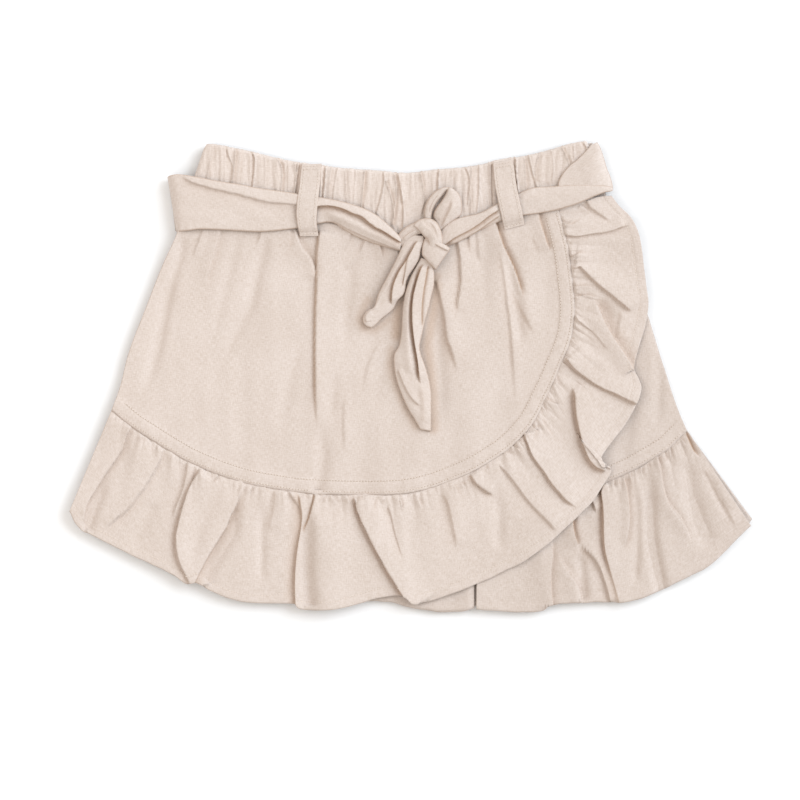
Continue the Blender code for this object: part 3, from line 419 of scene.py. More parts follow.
# The wrap's ruffle: ribs from the side seam round the curved edge to the waist
wrapRuffle = {
    "columns": 860, "rows": 52, "seed": 11, "tuck": 2.5, "under": 0.35, "gather": 1.5, "drift": 0.3,
    "lift": 0.5, "liftFrom": 4.0, "liftRun": 16.0, "moreLift": 2.2, "moreFrom": 40.0, "moreRun": 50.0,
    "sink": 1.9, "hemBand": 5.2, "cut": (0.60, 0.067),
    "ribs": points([
        ((-178.5, -21.0), (-203.7, -81.6)), ((-173.1, -25.8), (-198.9, -90.6)),
        ((-166.5, -31.2), (-188.1, -97.2)), ((-158.1, -36.6), (-176.1, -103.2)),
        ((-149.7, -42.0), (-162.9, -109.8)), ((-141.3, -47.1), (-150.9, -115.2)),
        ((-133.5, -51.6), (-141.3, -120.0)), ((-125.7, -55.2), (-133.5, -125.1)),
        ((-117.9, -58.5), (-127.5, -124.5)), ((-108.9, -61.8), (-119.7, -129.0)),
        ((-99.3, -64.8), (-109.5, -133.5)), ((-89.7, -66.9), (-98.1, -136.2)),
        ((-80.7, -68.4), (-83.7, -136.8)), ((-71.7, -69.9), (-69.9, -137.1)),
        ((-63.3, -70.8), (-65.1, -140.1)), ((-53.7, -71.4), (-54.9, -141.0)),
        ((-44.1, -71.7), (-42.9, -140.1)), ((-34.5, -72.0), (-31.5, -137.4)),
        ((-26.1, -72.0), (-20.1, -134.1)), ((-17.7, -72.0), (-9.3, -132.3)), ((-10.5, -71.7), (-2.1, -132.9)),
        ((-3.3, -71.2), (3.3, -137.1)), ((5.7, -69.6), (11.7, -135.6)), ((14.7, -67.2), (21.9, -132.3)),
        ((23.7, -63.9), (33.9, -127.8)), ((32.7, -60.3), (46.5, -122.4)), ((41.7, -55.8), (58.5, -116.7)),
        ((50.1, -50.7), (70.5, -110.4)), ((57.3, -45.9), (81.9, -102.0)), ((63.9, -40.2), (92.1, -93.0)),
        ((69.3, -34.5), (101.7, -83.7)), ((74.1, -28.5), (110.1, -75.0)), ((78.3, -21.0), (117.3, -64.2)),
        ((80.7, -15.6), (120.9, -57.0)), ((83.1, -10.8), (114.9, -54.0)), ((85.5, -6.0), (115.5, -48.0)),
        ((87.9, -0.6), (122.1, -39.0)), ((90.3, 5.4), (129.9, -28.8)), ((93.0, 11.4), (135.9, -17.7)),
        ((95.4, 17.4), (138.9, -7.8)), ((97.2, 24.0), (137.1, -1.8)), ((98.4, 31.2), (134.7, 4.8)),
        ((98.9, 39.0), (138.3, 19.8)), ((98.7, 45.6), (141.9, 31.8)), ((98.1, 52.8), (143.1, 42.0)),
        ((97.2, 60.0), (141.9, 53.4)), ((96.3, 67.8), (140.4, 65.4)), ((95.1, 75.6), (138.9, 77.4)),
        ((93.3, 83.4), (136.2, 88.2)), ((91.2, 91.8), (131.1, 96.0)), ((89.1, 99.0), (125.1, 102.0)),
        ((88.2, 104.4), (120.9, 107.4))], "seam hem"),
    "folds": [
        (-1, 1.6, 12, 0.3, 0.75, 3, 0.3, 0.25, 0.0,
         [(-195.3, -94.8), (-194.7, -83.4), (-192.9, -76.8), (-188.1, -69.0), (-182.7, -60.0),
          (-176.7, -51.6), (-171.9, -43.2), (-170.7, -39.0), (-166.5, -31.2)]),
        (-1, 1.3, 11, 0.35, 0.5, 3, 0.2, 0.25, 0.0,
         [(-184.5, -97.2), (-180.9, -90.6), (-171.3, -82.2), (-164.7, -75.0), (-159.3, -67.8),
          (-154.5, -60.0), (-149.7, -51.0), (-147.3, -45.0)]),
        (1, 1.4, 5, 0.5, 0.5, 4, 0.0, 0.2, 0.0,
         [(-142.5, -87.0), (-140.1, -79.8), (-137.7, -73.8), (-135.3, -67.2), (-133.5, -58.8),
          (-132.9, -52.8)]),
        (1, 2.8, 11, 0.4, 0.9, 3, 0.6, 0.0, 0.05,
         [(-129.9, -129.0), (-132.9, -121.2), (-136.5, -114.0), (-138.9, -105.0), (-139.2, -96.0),
          (-137.7, -88.2), (-135.9, -81.0), (-134.1, -75.0), (-131.7, -68.4), (-128.7, -62.4),
          (-124.5, -55.8)]),
        (-1, 2.4, 11, 0.3, 1.0, 4.5, 0.5, 0.0, 0.25,
         [(-129.9, -130.2), (-128.7, -124.2), (-125.7, -117.6), (-120.9, -108.6), (-116.7, -102.0),
          (-113.1, -96.0), (-110.1, -91.2), (-107.7, -85.2), (-104.7, -79.2), (-101.7, -72.0),
          (-98.1, -65.4)]),
        (1, 0.7, 7, 1.2, 0.3, 4, 0.0, 0.2, 0.1,
         [(-84.3, -94.2), (-82.5, -87.0), (-80.7, -78.0), (-79.5, -68.4)]),
        (1, 1.4, 4, 0.4, 0.5, 2, 0.3, 0.3, 0.0,
         [(-64.2, -81.0), (-66.3, -78.0), (-69.9, -73.2), (-72.9, -68.4)]),
        (1, 1.4, 5, 0.5, 1.3, 5, 0.6, 0.0, 0.1,
         [(-67.5, -141.0), (-68.1, -126.0), (-67.5, -112.2), (-66.3, -102.0), (-64.5, -91.2), (-63.9, -84.0),
          (-64.5, -78.6), (-65.7, -73.8), (-68.1, -69.0)]),
        (1, 3.6, 17, 11, 0.0, 1, 0.0, 0.0, 0.25, [(-48.9, -143.4), (-51.3, -99.0), (-53.7, -75.0)]),
        (1, 1.6, 5, 0.35, 1.5, 1.0, 0.5, 0.2, 0.0,
         [(-63.6, -95.4), (-61.5, -90.6), (-59.7, -85.8), (-58.5, -81.0), (-57.3, -76.2), (-56.7, -72.0)]),
        (1, 3.4, 13, 0.45, 1.3, 2.4, 1.1, 0.0, 0.06,
         [(1.5, -139.8), (-5.7, -127.8), (-12.9, -116.4), (-19.5, -104.4), (-26.1, -91.2), (-30.9, -79.8),
          (-32.1, -76.2), (-33.9, -72.6)]),
        (-1, 0.9, 4, 0.4, 0.3, 2, 0.0, 0.4, 0.1,
         [(-29.7, -96.6), (-30.3, -90.0), (-30.9, -84.0), (-31.5, -76.8)]),
        (1, 1.2, 5, 0.45, 0.5, 3, 0.2, 0.3, 0.1,
         [(-2.7, -112.8), (-4.5, -107.4), (-6.9, -99.6), (-8.7, -93.6), (-9.9, -87.6), (-11.1, -82.8),
          (-13.5, -77.4)]),
        (1, 1.1, 9, 0.9, 0.5, 6, 0.0, 0.25, 0.2,
         [(28.5, -105.6), (27.9, -99.0), (26.7, -91.8), (24.9, -84.0), (23.7, -78.0), (21.9, -73.8),
          (18.3, -69.0)]),
        (1, 1.8, 8, 0.35, 0.9, 3, 0.4, 0.25, 0.0,
         [(51.3, -72.0), (46.5, -69.6), (42.3, -66.6), (38.7, -63.0), (36.9, -60.0)]),
        (1, 1.3, 8, 0.45, 0.5, 3, 0.2, 0.1, 0.1,
         [(88.5, -94.2), (83.7, -88.2), (75.9, -80.4), (68.7, -72.0), (64.5, -66.0), (60.3, -60.6),
          (55.5, -55.2), (52.5, -52.2)]),
        (1, 2.4, 11, 0.4, 1.0, 2.2, 0.6, 0.15, 0.0,
         [(100.5, -79.8), (96.9, -76.8), (93.9, -74.4), (90.3, -70.2), (86.1, -65.4), (81.9, -58.8),
          (78.3, -54.0), (74.1, -48.0), (71.1, -40.8), (69.3, -37.2), (68.7, -34.8)]),
        (1, 3.4, 12, 0.5, 1.3, 3.0, 0.8, 0.0, 0.12,
         [(116.7, -56.4), (112.5, -54.6), (108.9, -51.0), (105.9, -45.0), (103.5, -37.2), (101.7, -30.0),
          (100.5, -24.0), (99.9, -18.0), (99.3, -10.8), (97.5, -6.6)]),
        (1, 0.6, 4, 0.5, 0.2, 3, 0.0, 0.3, 0.3, [(113.1, -15.0), (105.9, -7.8), (98.7, -1.8)]),
        (1, 2.5, 11, 0.5, 0.9, 2.6, 0.6, 0.0, 0.05,
         [(137.1, -17.1), (128.7, -13.2), (122.7, -10.2), (116.7, -7.8), (111.3, -4.8), (105.3, -0.6),
          (100.5, 3.0), (96.3, 7.2), (93.3, 10.8)]),
        (1, 1.7, 8, 0.45, 0.7, 2.6, 0.4, 0.1, 0.0,
         [(131.1, 90.3), (126.3, 88.8), (121.5, 87.0), (116.1, 85.8), (109.5, 84.9), (104.1, 84.0),
          (97.5, 83.4), (93.9, 84.0), (91.5, 85.8)]),
        (1, 1.3, 7, 0.5, 0.5, 4, 0.2, 0.3, 0.0,
         [(122.1, 90.0), (119.1, 93.0), (114.9, 96.0), (110.7, 99.0), (107.7, 101.4), (106.5, 104.4)]),
        (1, 2.0, 10, 0.6, 0.8, 3.0, 0.4, 0.1, 0.1,
         [(133.5, 37.2), (131.1, 40.2), (127.5, 43.2), (123.9, 46.2), (120.3, 49.2), (115.5, 52.8),
          (108.3, 59.4), (104.7, 63.0), (101.7, 65.4), (99.3, 64.2), (96.9, 66.0)]),
        (-1, 2.2, 8, 0.6, 1.0, 6, 0.4, 0.0, 0.15,
         [(134.1, 3.0), (129.3, 11.4), (125.7, 16.8), (122.1, 22.2), (118.5, 28.2), (115.5, 34.2),
          (113.1, 40.2), (109.5, 46.2)]),
        (1, 1.0, 6, 0.4, 0.4, 3, 0.2, 0.1, 0.1,
         [(119.1, 15.0), (114.3, 21.0), (109.5, 26.4), (104.7, 30.0), (100.5, 33.6), (98.7, 37.2)]),
        (1, 0.9, 5, 0.6, 0.4, 4, 0.0, 0.2, 0.3, [(124.5, 20.4), (125.1, 27.0), (126.3, 34.2), (126.9, 40.2)])]
    + nips([[(-147.3, -45.6), (-148.2, -50.4), (-149.1, -54.6)],
            [(-137.1, -49.8), (-135.9, -51.6), (-134.7, -53.4)],
            [(-114.3, -60.0), (-117.3, -63.0), (-120.9, -66.0)],
            [(-92.7, -66.6), (-95.1, -69.0), (-96.3, -72.0)], [(-86.1, -67.2), (-86.7, -69.6)],
            [(-159.9, -37.2), (-161.7, -39.6)], [(-63.3, -70.8), (-60.9, -75.0)],
            [(-50.1, -72.0), (-51.9, -75.0), (-53.1, -77.4)],
            [(-47.1, -71.4), (-44.1, -75.0), (-39.9, -76.2)],
            [(-38.1, -71.4), (-36.3, -74.4), (-35.7, -79.8)],
            [(-28.5, -72.0), (-30.9, -74.4), (-32.1, -76.8)],
            [(-20.1, -73.2), (-21.3, -78.0), (-21.3, -82.2)], [(-15.9, -75.0), (-17.1, -78.0)],
            [(-5.7, -73.8), (-4.5, -78.0), (-5.7, -82.2)], [(5.1, -73.2), (7.5, -79.8)],
            [(26.7, -65.4), (28.5, -69.0), (29.1, -72.6)], [(30.9, -64.2), (33.3, -67.2)],
            [(45.3, -54.6), (47.1, -57.6)], [(57.3, -45.6), (61.5, -48.0)],
            [(61.5, -42.6), (65.1, -44.4), (68.1, -48.0)], [(64.2, -39.0), (67.5, -40.2), (70.5, -39.9)],
            [(72.9, -29.4), (74.1, -33.0)], [(76.5, -29.4), (75.3, -35.4), (73.5, -41.4)],
            [(78.9, -26.4), (81.3, -30.6), (84.3, -34.8), (86.7, -40.8)],
            [(79.8, -16.8), (80.4, -19.8), (81.3, -22.8)], [(78.3, -19.8), (78.9, -24.0)],
            [(81.9, -14.4), (84.9, -16.2), (89.1, -17.4), (93.9, -18.6)],
            [(87.9, -0.6), (88.5, -4.2), (90.9, -9.0)], [(91.5, 7.8), (93.9, 5.4)],
            [(90.9, 91.8), (93.9, 90.3), (96.9, 90.0), (100.5, 91.8), (104.1, 94.2)],
            [(102.3, 102.0), (108.3, 97.2), (112.5, 94.2)], [(95.1, 81.0), (95.1, 76.8)],
            [(96.3, 70.2), (99.3, 71.4), (101.1, 72.6), (108.3, 72.3)],
            [(98.1, 52.8), (105.3, 53.4), (113.1, 51.6)], [(98.7, 46.8), (107.1, 47.4), (115.5, 45.0)],
            [(96.9, 21.6), (100.5, 18.0)]]),
    "hollows": [
        (2.3, 3.4, 0.0, 0.5,
         [(-193.5, -93.0), (-190.5, -84.0), (-186.9, -75.0), (-182.7, -66.0), (-177.9, -57.0)]),
        (2.5, 4.1, 0.0, 0.4, [(-122.7, -123.0), (-114.9, -108.0), (-106.5, -93.0), (-101.7, -78.0)]),
        (3.2, 3.4, 0.0, 0.4, [(-59.1, -138.0), (-60.9, -117.0), (-60.9, -99.0), (-60.3, -75.0)]),
        (1.4, 2.7, 0.3, 0.3, [(-88.5, -129.0), (-88.5, -99.0), (-88.5, -75.0)]),
        (1.4, 3.4, 0.3, 0.3, [(53.1, -108.0), (53.7, -87.0), (53.7, -72.0)]),
        (0.9, 4.1, 0.3, 0.2, [(-166.5, -105.0), (-160.5, -93.0), (-152.1, -75.0)]),
        (1.1, 3.1, 0.4, 0.3, [(122.1, 30.0), (118.5, 36.0), (113.1, 45.0)]),
        (0.9, 3.4, 0.4, 0.3, [(114.3, 9.0), (107.1, 18.0), (102.3, 24.0)])]}

# The right leg's ruffle, from the centre seam to the side seam
legRuffleRight = {
    "columns": 420, "rows": 44, "seed": 23, "tuck": 2.5, "under": 0.9, "gather": 1.3, "drift": 0.5,
    "lift": 2.7, "liftFrom": 2.0, "liftRun": 22.0, "sink": 2.3, "hemBand": 5.2, "cut": (0.20, 0.073),
    "ribs": points([
        ((40.6, -74.4), (40.0, -140.4)), ((51.9, -75.0), (54.3, -141.6)), ((61.5, -75.0), (66.9, -142.2)),
        ((71.7, -74.4), (78.9, -141.6)), ((81.9, -73.2), (84.9, -138.3)), ((91.5, -71.7), (93.9, -136.8)),
        ((100.5, -69.6), (104.7, -136.5)), ((109.5, -67.2), (114.3, -136.2)),
        ((118.5, -64.2), (125.1, -136.2)), ((125.7, -61.2), (134.7, -135.3)),
        ((132.9, -57.9), (144.9, -131.7)), ((139.5, -54.3), (155.1, -126.9)),
        ((145.5, -50.7), (164.7, -122.1)), ((150.9, -47.4), (173.1, -118.2)),
        ((155.7, -44.4), (180.3, -114.0)), ((159.9, -40.2), (188.1, -106.8)),
        ((163.5, -36.6), (194.7, -99.9)), ((166.5, -33.6), (204.9, -90.6))], "seam hem"),
    "folds": [
        (1, 2.6, 10, 0.5, 1.6, 3.0, 0.6, 0.45, 0.0,
         [(126.3, -137.4), (123.9, -127.8), (120.9, -117.0), (117.9, -105.0), (117.0, -96.0), (116.7, -84.0),
          (116.1, -75.0), (115.2, -69.0), (116.7, -64.2)]),
        (1, 1.6, 9, 1.4, 0.9, 5.0, 0.3, 0.0, 0.35,
         [(126.3, -137.4), (123.9, -127.8), (120.9, -117.0), (117.9, -105.0), (117.0, -96.0),
          (116.7, -87.0)]),
        (-1, 1.8, 6, 0.4, 0.9, 3.5, 0.5, 0.25, 0.05,
         [(126.9, -107.4), (129.9, -99.0), (131.1, -93.0), (131.7, -86.4), (131.1, -78.0), (129.9, -69.0),
          (128.7, -61.2)]),
        (-1, 1.6, 6, 0.5, 0.6, 3, 0.3, 0.3, 0.0,
         [(169.5, -102.6), (162.9, -87.6), (158.7, -82.2), (155.1, -77.4), (152.4, -70.8), (150.9, -63.0),
          (149.7, -55.8), (148.5, -49.2)]),
        (-1, 1.8, 8, 0.4, 1.5, 2.6, 0.5, 0.2, 0.0,
         [(101.1, -102.6), (99.3, -97.8), (97.8, -91.8), (97.2, -84.0)]),
        (1, 1.8, 8, 0.45, 0.7, 4, 0.4, 0.0, 0.2,
         [(120.9, -136.2), (119.1, -129.0), (116.7, -121.2), (113.7, -114.0), (108.9, -107.4),
          (104.7, -103.8), (101.1, -100.8)]),
        (-1, 1.5, 9, 0.4, 0.8, 3.5, 0.4, 0.0, 0.2,
         [(85.5, -138.6), (84.6, -127.8), (84.6, -118.2), (85.5, -108.0), (84.9, -99.0)]),
        (-1, 1.2, 7, 0.6, 0.6, 4, 0.2, 0.0, 0.25,
         [(103.5, -136.8), (100.5, -126.0), (96.9, -120.6), (92.1, -114.0), (87.9, -107.4)]),
        (1, 0.8, 6, 1.4, 0.3, 3, 0.0, 0.2, 0.1,
         [(197.1, -93.0), (192.3, -83.4), (186.9, -74.4), (180.9, -63.0), (176.7, -54.6)]),
        (1, 1.0, 4, 0.4, 1.6, 2.2, 0.0, 0.0, 0.4,
         [(164.7, -33.6), (167.1, -39.0), (169.5, -44.4), (174.3, -50.4)]),
        (1, 1.6, 8, 0.6, 0.8, 3, 0.3, 0.3, 0.0, [(112.5, -82.2), (110.7, -77.4), (108.9, -73.2)])]
    + nips([[(122.1, -63.6), (122.7, -67.8)], [(125.1, -62.4), (125.7, -66.6)],
            [(128.4, -61.2), (128.7, -65.4)], [(132.3, -58.8), (132.9, -63.0)],
            [(135.9, -57.0), (135.9, -61.2)], [(139.5, -55.2), (138.9, -59.4)],
            [(143.1, -52.8), (143.7, -57.0)], [(156.3, -43.8), (156.6, -48.6), (156.3, -52.2)],
            [(162.3, -37.8), (166.5, -42.6)], [(106.5, -68.4), (107.1, -73.2)],
            [(90.3, -72.6), (90.9, -76.8)], [(152.7, -46.2), (153.9, -52.2)]]),
    "hollows": [
        (3.4, 3.7, 0.0, 0.3,
         [(151.5, -130.2), (148.5, -117.0), (145.5, -102.0), (144.3, -87.0), (144.3, -69.0), (143.1, -57.0)]),
        (2.8, 5.4, 0.2, 0.2, [(181.5, -106.2), (174.3, -90.0), (168.3, -69.0), (165.3, -48.0)]),
        (1.1, 2.4, 0.3, 0.2, [(192.3, -87.0), (184.5, -72.0), (177.9, -57.0)]),
        (1.6, 2.7, 0.2, 0.2, [(134.7, -129.0), (136.5, -81.0), (134.7, -63.0)]),
        (2.1, 3.1, 0.0, 0.3, [(104.7, -135.0), (103.5, -120.0), (102.3, -105.0)])]}

# The left leg's ruffle, from the side seam to the centre seam, mostly under the wrap
legRuffleLeft = {
    "columns": 240, "rows": 26, "seed": 31, "tuck": 2.5, "under": 0.9, "gather": 0.8, "drift": 0.3,
    "lift": 1.3, "liftFrom": 2.0, "liftRun": 22.0, "sink": 0.9, "hemBand": 5.2, "cut": (0.275, 0.068),
    "ribs": points([
        ((-171.9, -30.0), (-197.7, -82.2)), ((-158.7, -39.6), (-179.7, -97.8)),
        ((-143.7, -48.0), (-158.7, -108.6)), ((-125.7, -57.0), (-136.5, -118.8)),
        ((-104.7, -65.4), (-112.5, -128.4)), ((-80.7, -71.4), (-86.7, -134.4)),
        ((-56.7, -74.4), (-59.7, -136.8)), ((-32.7, -75.6), (-35.7, -135.6)),
        ((-8.7, -75.6), (-11.7, -136.2)), ((1.5, -75.6), (-0.9, -139.2)), ((11.1, -75.6), (11.1, -141.3)),
        ((21.3, -75.3), (22.5, -142.2)), ((30.3, -75.0), (32.1, -141.6)),
        ((39.2, -74.4), (38.8, -139.8))], "seam hem"),
    "folds": [
        (1, 0.9, 9, 7, 0.0, 1, 0.0, 0.0, 0.3, [(36.3, -142.2), (36.3, -87.0)]),
        (1, 0.9, 8, 7, 0.0, 1, 0.0, 0.0, 0.3, [(15.9, -142.2), (13.5, -87.0)]),
        (1, 0.8, 9, 9, 0.0, 1, 0.0, 0.0, 0.3, [(-65.7, -135.0), (-65.7, -81.0)]),
        (1, 0.8, 9, 9, 0.0, 1, 0.0, 0.0, 0.3, [(-125.7, -120.0), (-116.7, -69.0)])],
    "hollows": [(1.0, 2.4, 0.0, 0.3, [(39.0, -142.2), (39.6, -90.0)])]}

# What all ruffles share: slack between the gathers, fine unevenness, the turned hem and its furrow
ruffleRelief = {"slack": 0.6, "fine": 0.16, "hemRise": 0.2, "hemFurrow": 0.15}


def puckers(ruffle, alongSeam, fromSeam):
    # Gathers square to the seam: rounded ridges between sharp valleys, each dying out at its own
    # length, 2 to 14 mm from the seam. The wide ones reach twice as far as the close ones.
    seed = ruffle["seed"]
    reach = 8.0 + 6.0 * waves(alongSeam / 9.0, 0 * alongSeam, seed)
    close = np.abs(waves(alongSeam / 4.2, fromSeam / 26.0, seed + 1)) ** 0.8
    wide = np.abs(waves(alongSeam / 10.0 + 40, fromSeam / 45.0, seed + 2)) ** 0.8
    start = ease((fromSeam + 0.2) / 1.6)
    near = close * bell(fromSeam / reach) + 1.4 * wide * bell(fromSeam / (2.0 * reach))
    return ruffle["gather"] * start * near


def ruffleSurface(ruffle, level, liftOver=None):
    # Points between the seam and the hem along the ribs. t is 0 at the seam and 1 at the hem. The
    # height is the layer's, plus a lift over what lies below, folds, puckers and a turned hem.
    ribs = ruffle["ribs"]
    s = np.linspace(0, len(ribs["seam"]) - 1, ruffle["columns"] + 1)
    t = np.linspace(0, 1, ruffle["rows"] + 1)
    t = t - 0.025 * np.sin(2 * np.pi * t)       # closer rows near the seam and the hem
    s, t = np.meshgrid(s, t)
    seam = alongTable(ribs, "seam", s)
    run = alongTable(ribs, "hem", s) - seam
    length = np.hypot(run[..., 0], run[..., 1])
    start = -ruffle["tuck"] / length
    step = np.hypot(*np.diff(seam[0], axis=0).T)
    alongSeam = np.concatenate([[0.0], np.cumsum(step)])[None, :] + 0 * t
    stray = ruffle["drift"] * waves(alongSeam / 7.0, 0 * s, ruffle["seed"] + 5) / length
    reach = start + (1 + stray - start) * t
    fromSeam = reach * length
    fromHem = (1 + stray - reach) * length
    place = seam + run * reach[..., None]
    x = place[..., 0]
    y = place[..., 1]
    height, leanX, leanY, creaseShade = folds(ruffle["folds"], x, y)
    height = height - hollows(ruffle["hollows"], x, y)
    if liftOver is None:
        lift = ruffle["lift"] * ease((fromSeam + ruffle["liftFrom"]) / ruffle["liftRun"])
    else:
        lift = liftOver(x, y)
    grown = ease(fromSeam / 14.0)
    slack = ruffleRelief["slack"] * waves(alongSeam / 14.0, fromSeam / 40.0, ruffle["seed"] + 3) * grown
    fine = ruffleRelief["fine"] * waves(x / 6.0, y / 6.0, ruffle["seed"] + 4) * grown
    z = level + lift + height * ease((fromSeam + 0.8) / 1.6) + puckers(ruffle, alongSeam, fromSeam)
    z = z + slack + fine
    z = z + ruffleRelief["hemRise"] * ease((ruffle["hemBand"] - fromHem) / 0.9)
    z = z - ruffleRelief["hemFurrow"] * bell((fromHem - ruffle["hemBand"]) / 0.7)
    z = np.maximum(z, level + lift - ruffle["sink"])
    grip = ease((fromSeam - 1.0) / 8.0)         # the seam keeps the folds from leaning
    # the painted shade in the folds fades out at the seam
    creaseShade = creaseShade * ease((fromSeam + 0.6) / 1.5)
    return x + leanX * grip, y + leanY * grip, z, alongSeam, fromSeam, fromHem, creaseShade


def seamLine(ruffle, places):
    # a ruffle's whole seam as a line
    ribs = ruffle["ribs"]
    return alongTable(ribs, "seam", np.linspace(0, len(ribs["seam"]) - 1, places))


def makeRuffle(node, ruffle, level, finish, liftOver=None):
    # a ruffle's cloth, its weave running along the seam, and the surface it was made on
    surface = ruffleSurface(ruffle, level, liftOver)
    x, y, z, alongSeam, fromSeam, _, creaseShade = surface
    frill = clothPiece(node, x, y, z, clothWall, finish, alongSeam, fromSeam, creaseShade)
    sewnIn(frill, [node])
    return surface


def hemLine(surface, distance):
    # the line on a ruffle at a distance from its hem
    x, y, z, _, _, fromHem, _ = surface
    row = np.argmin(np.abs(fromHem - distance), axis=0)
    column = np.arange(x.shape[1])
    line = np.stack([x[row, column], y[row, column], z[row, column]], axis=-1)
    return line[3:-3]
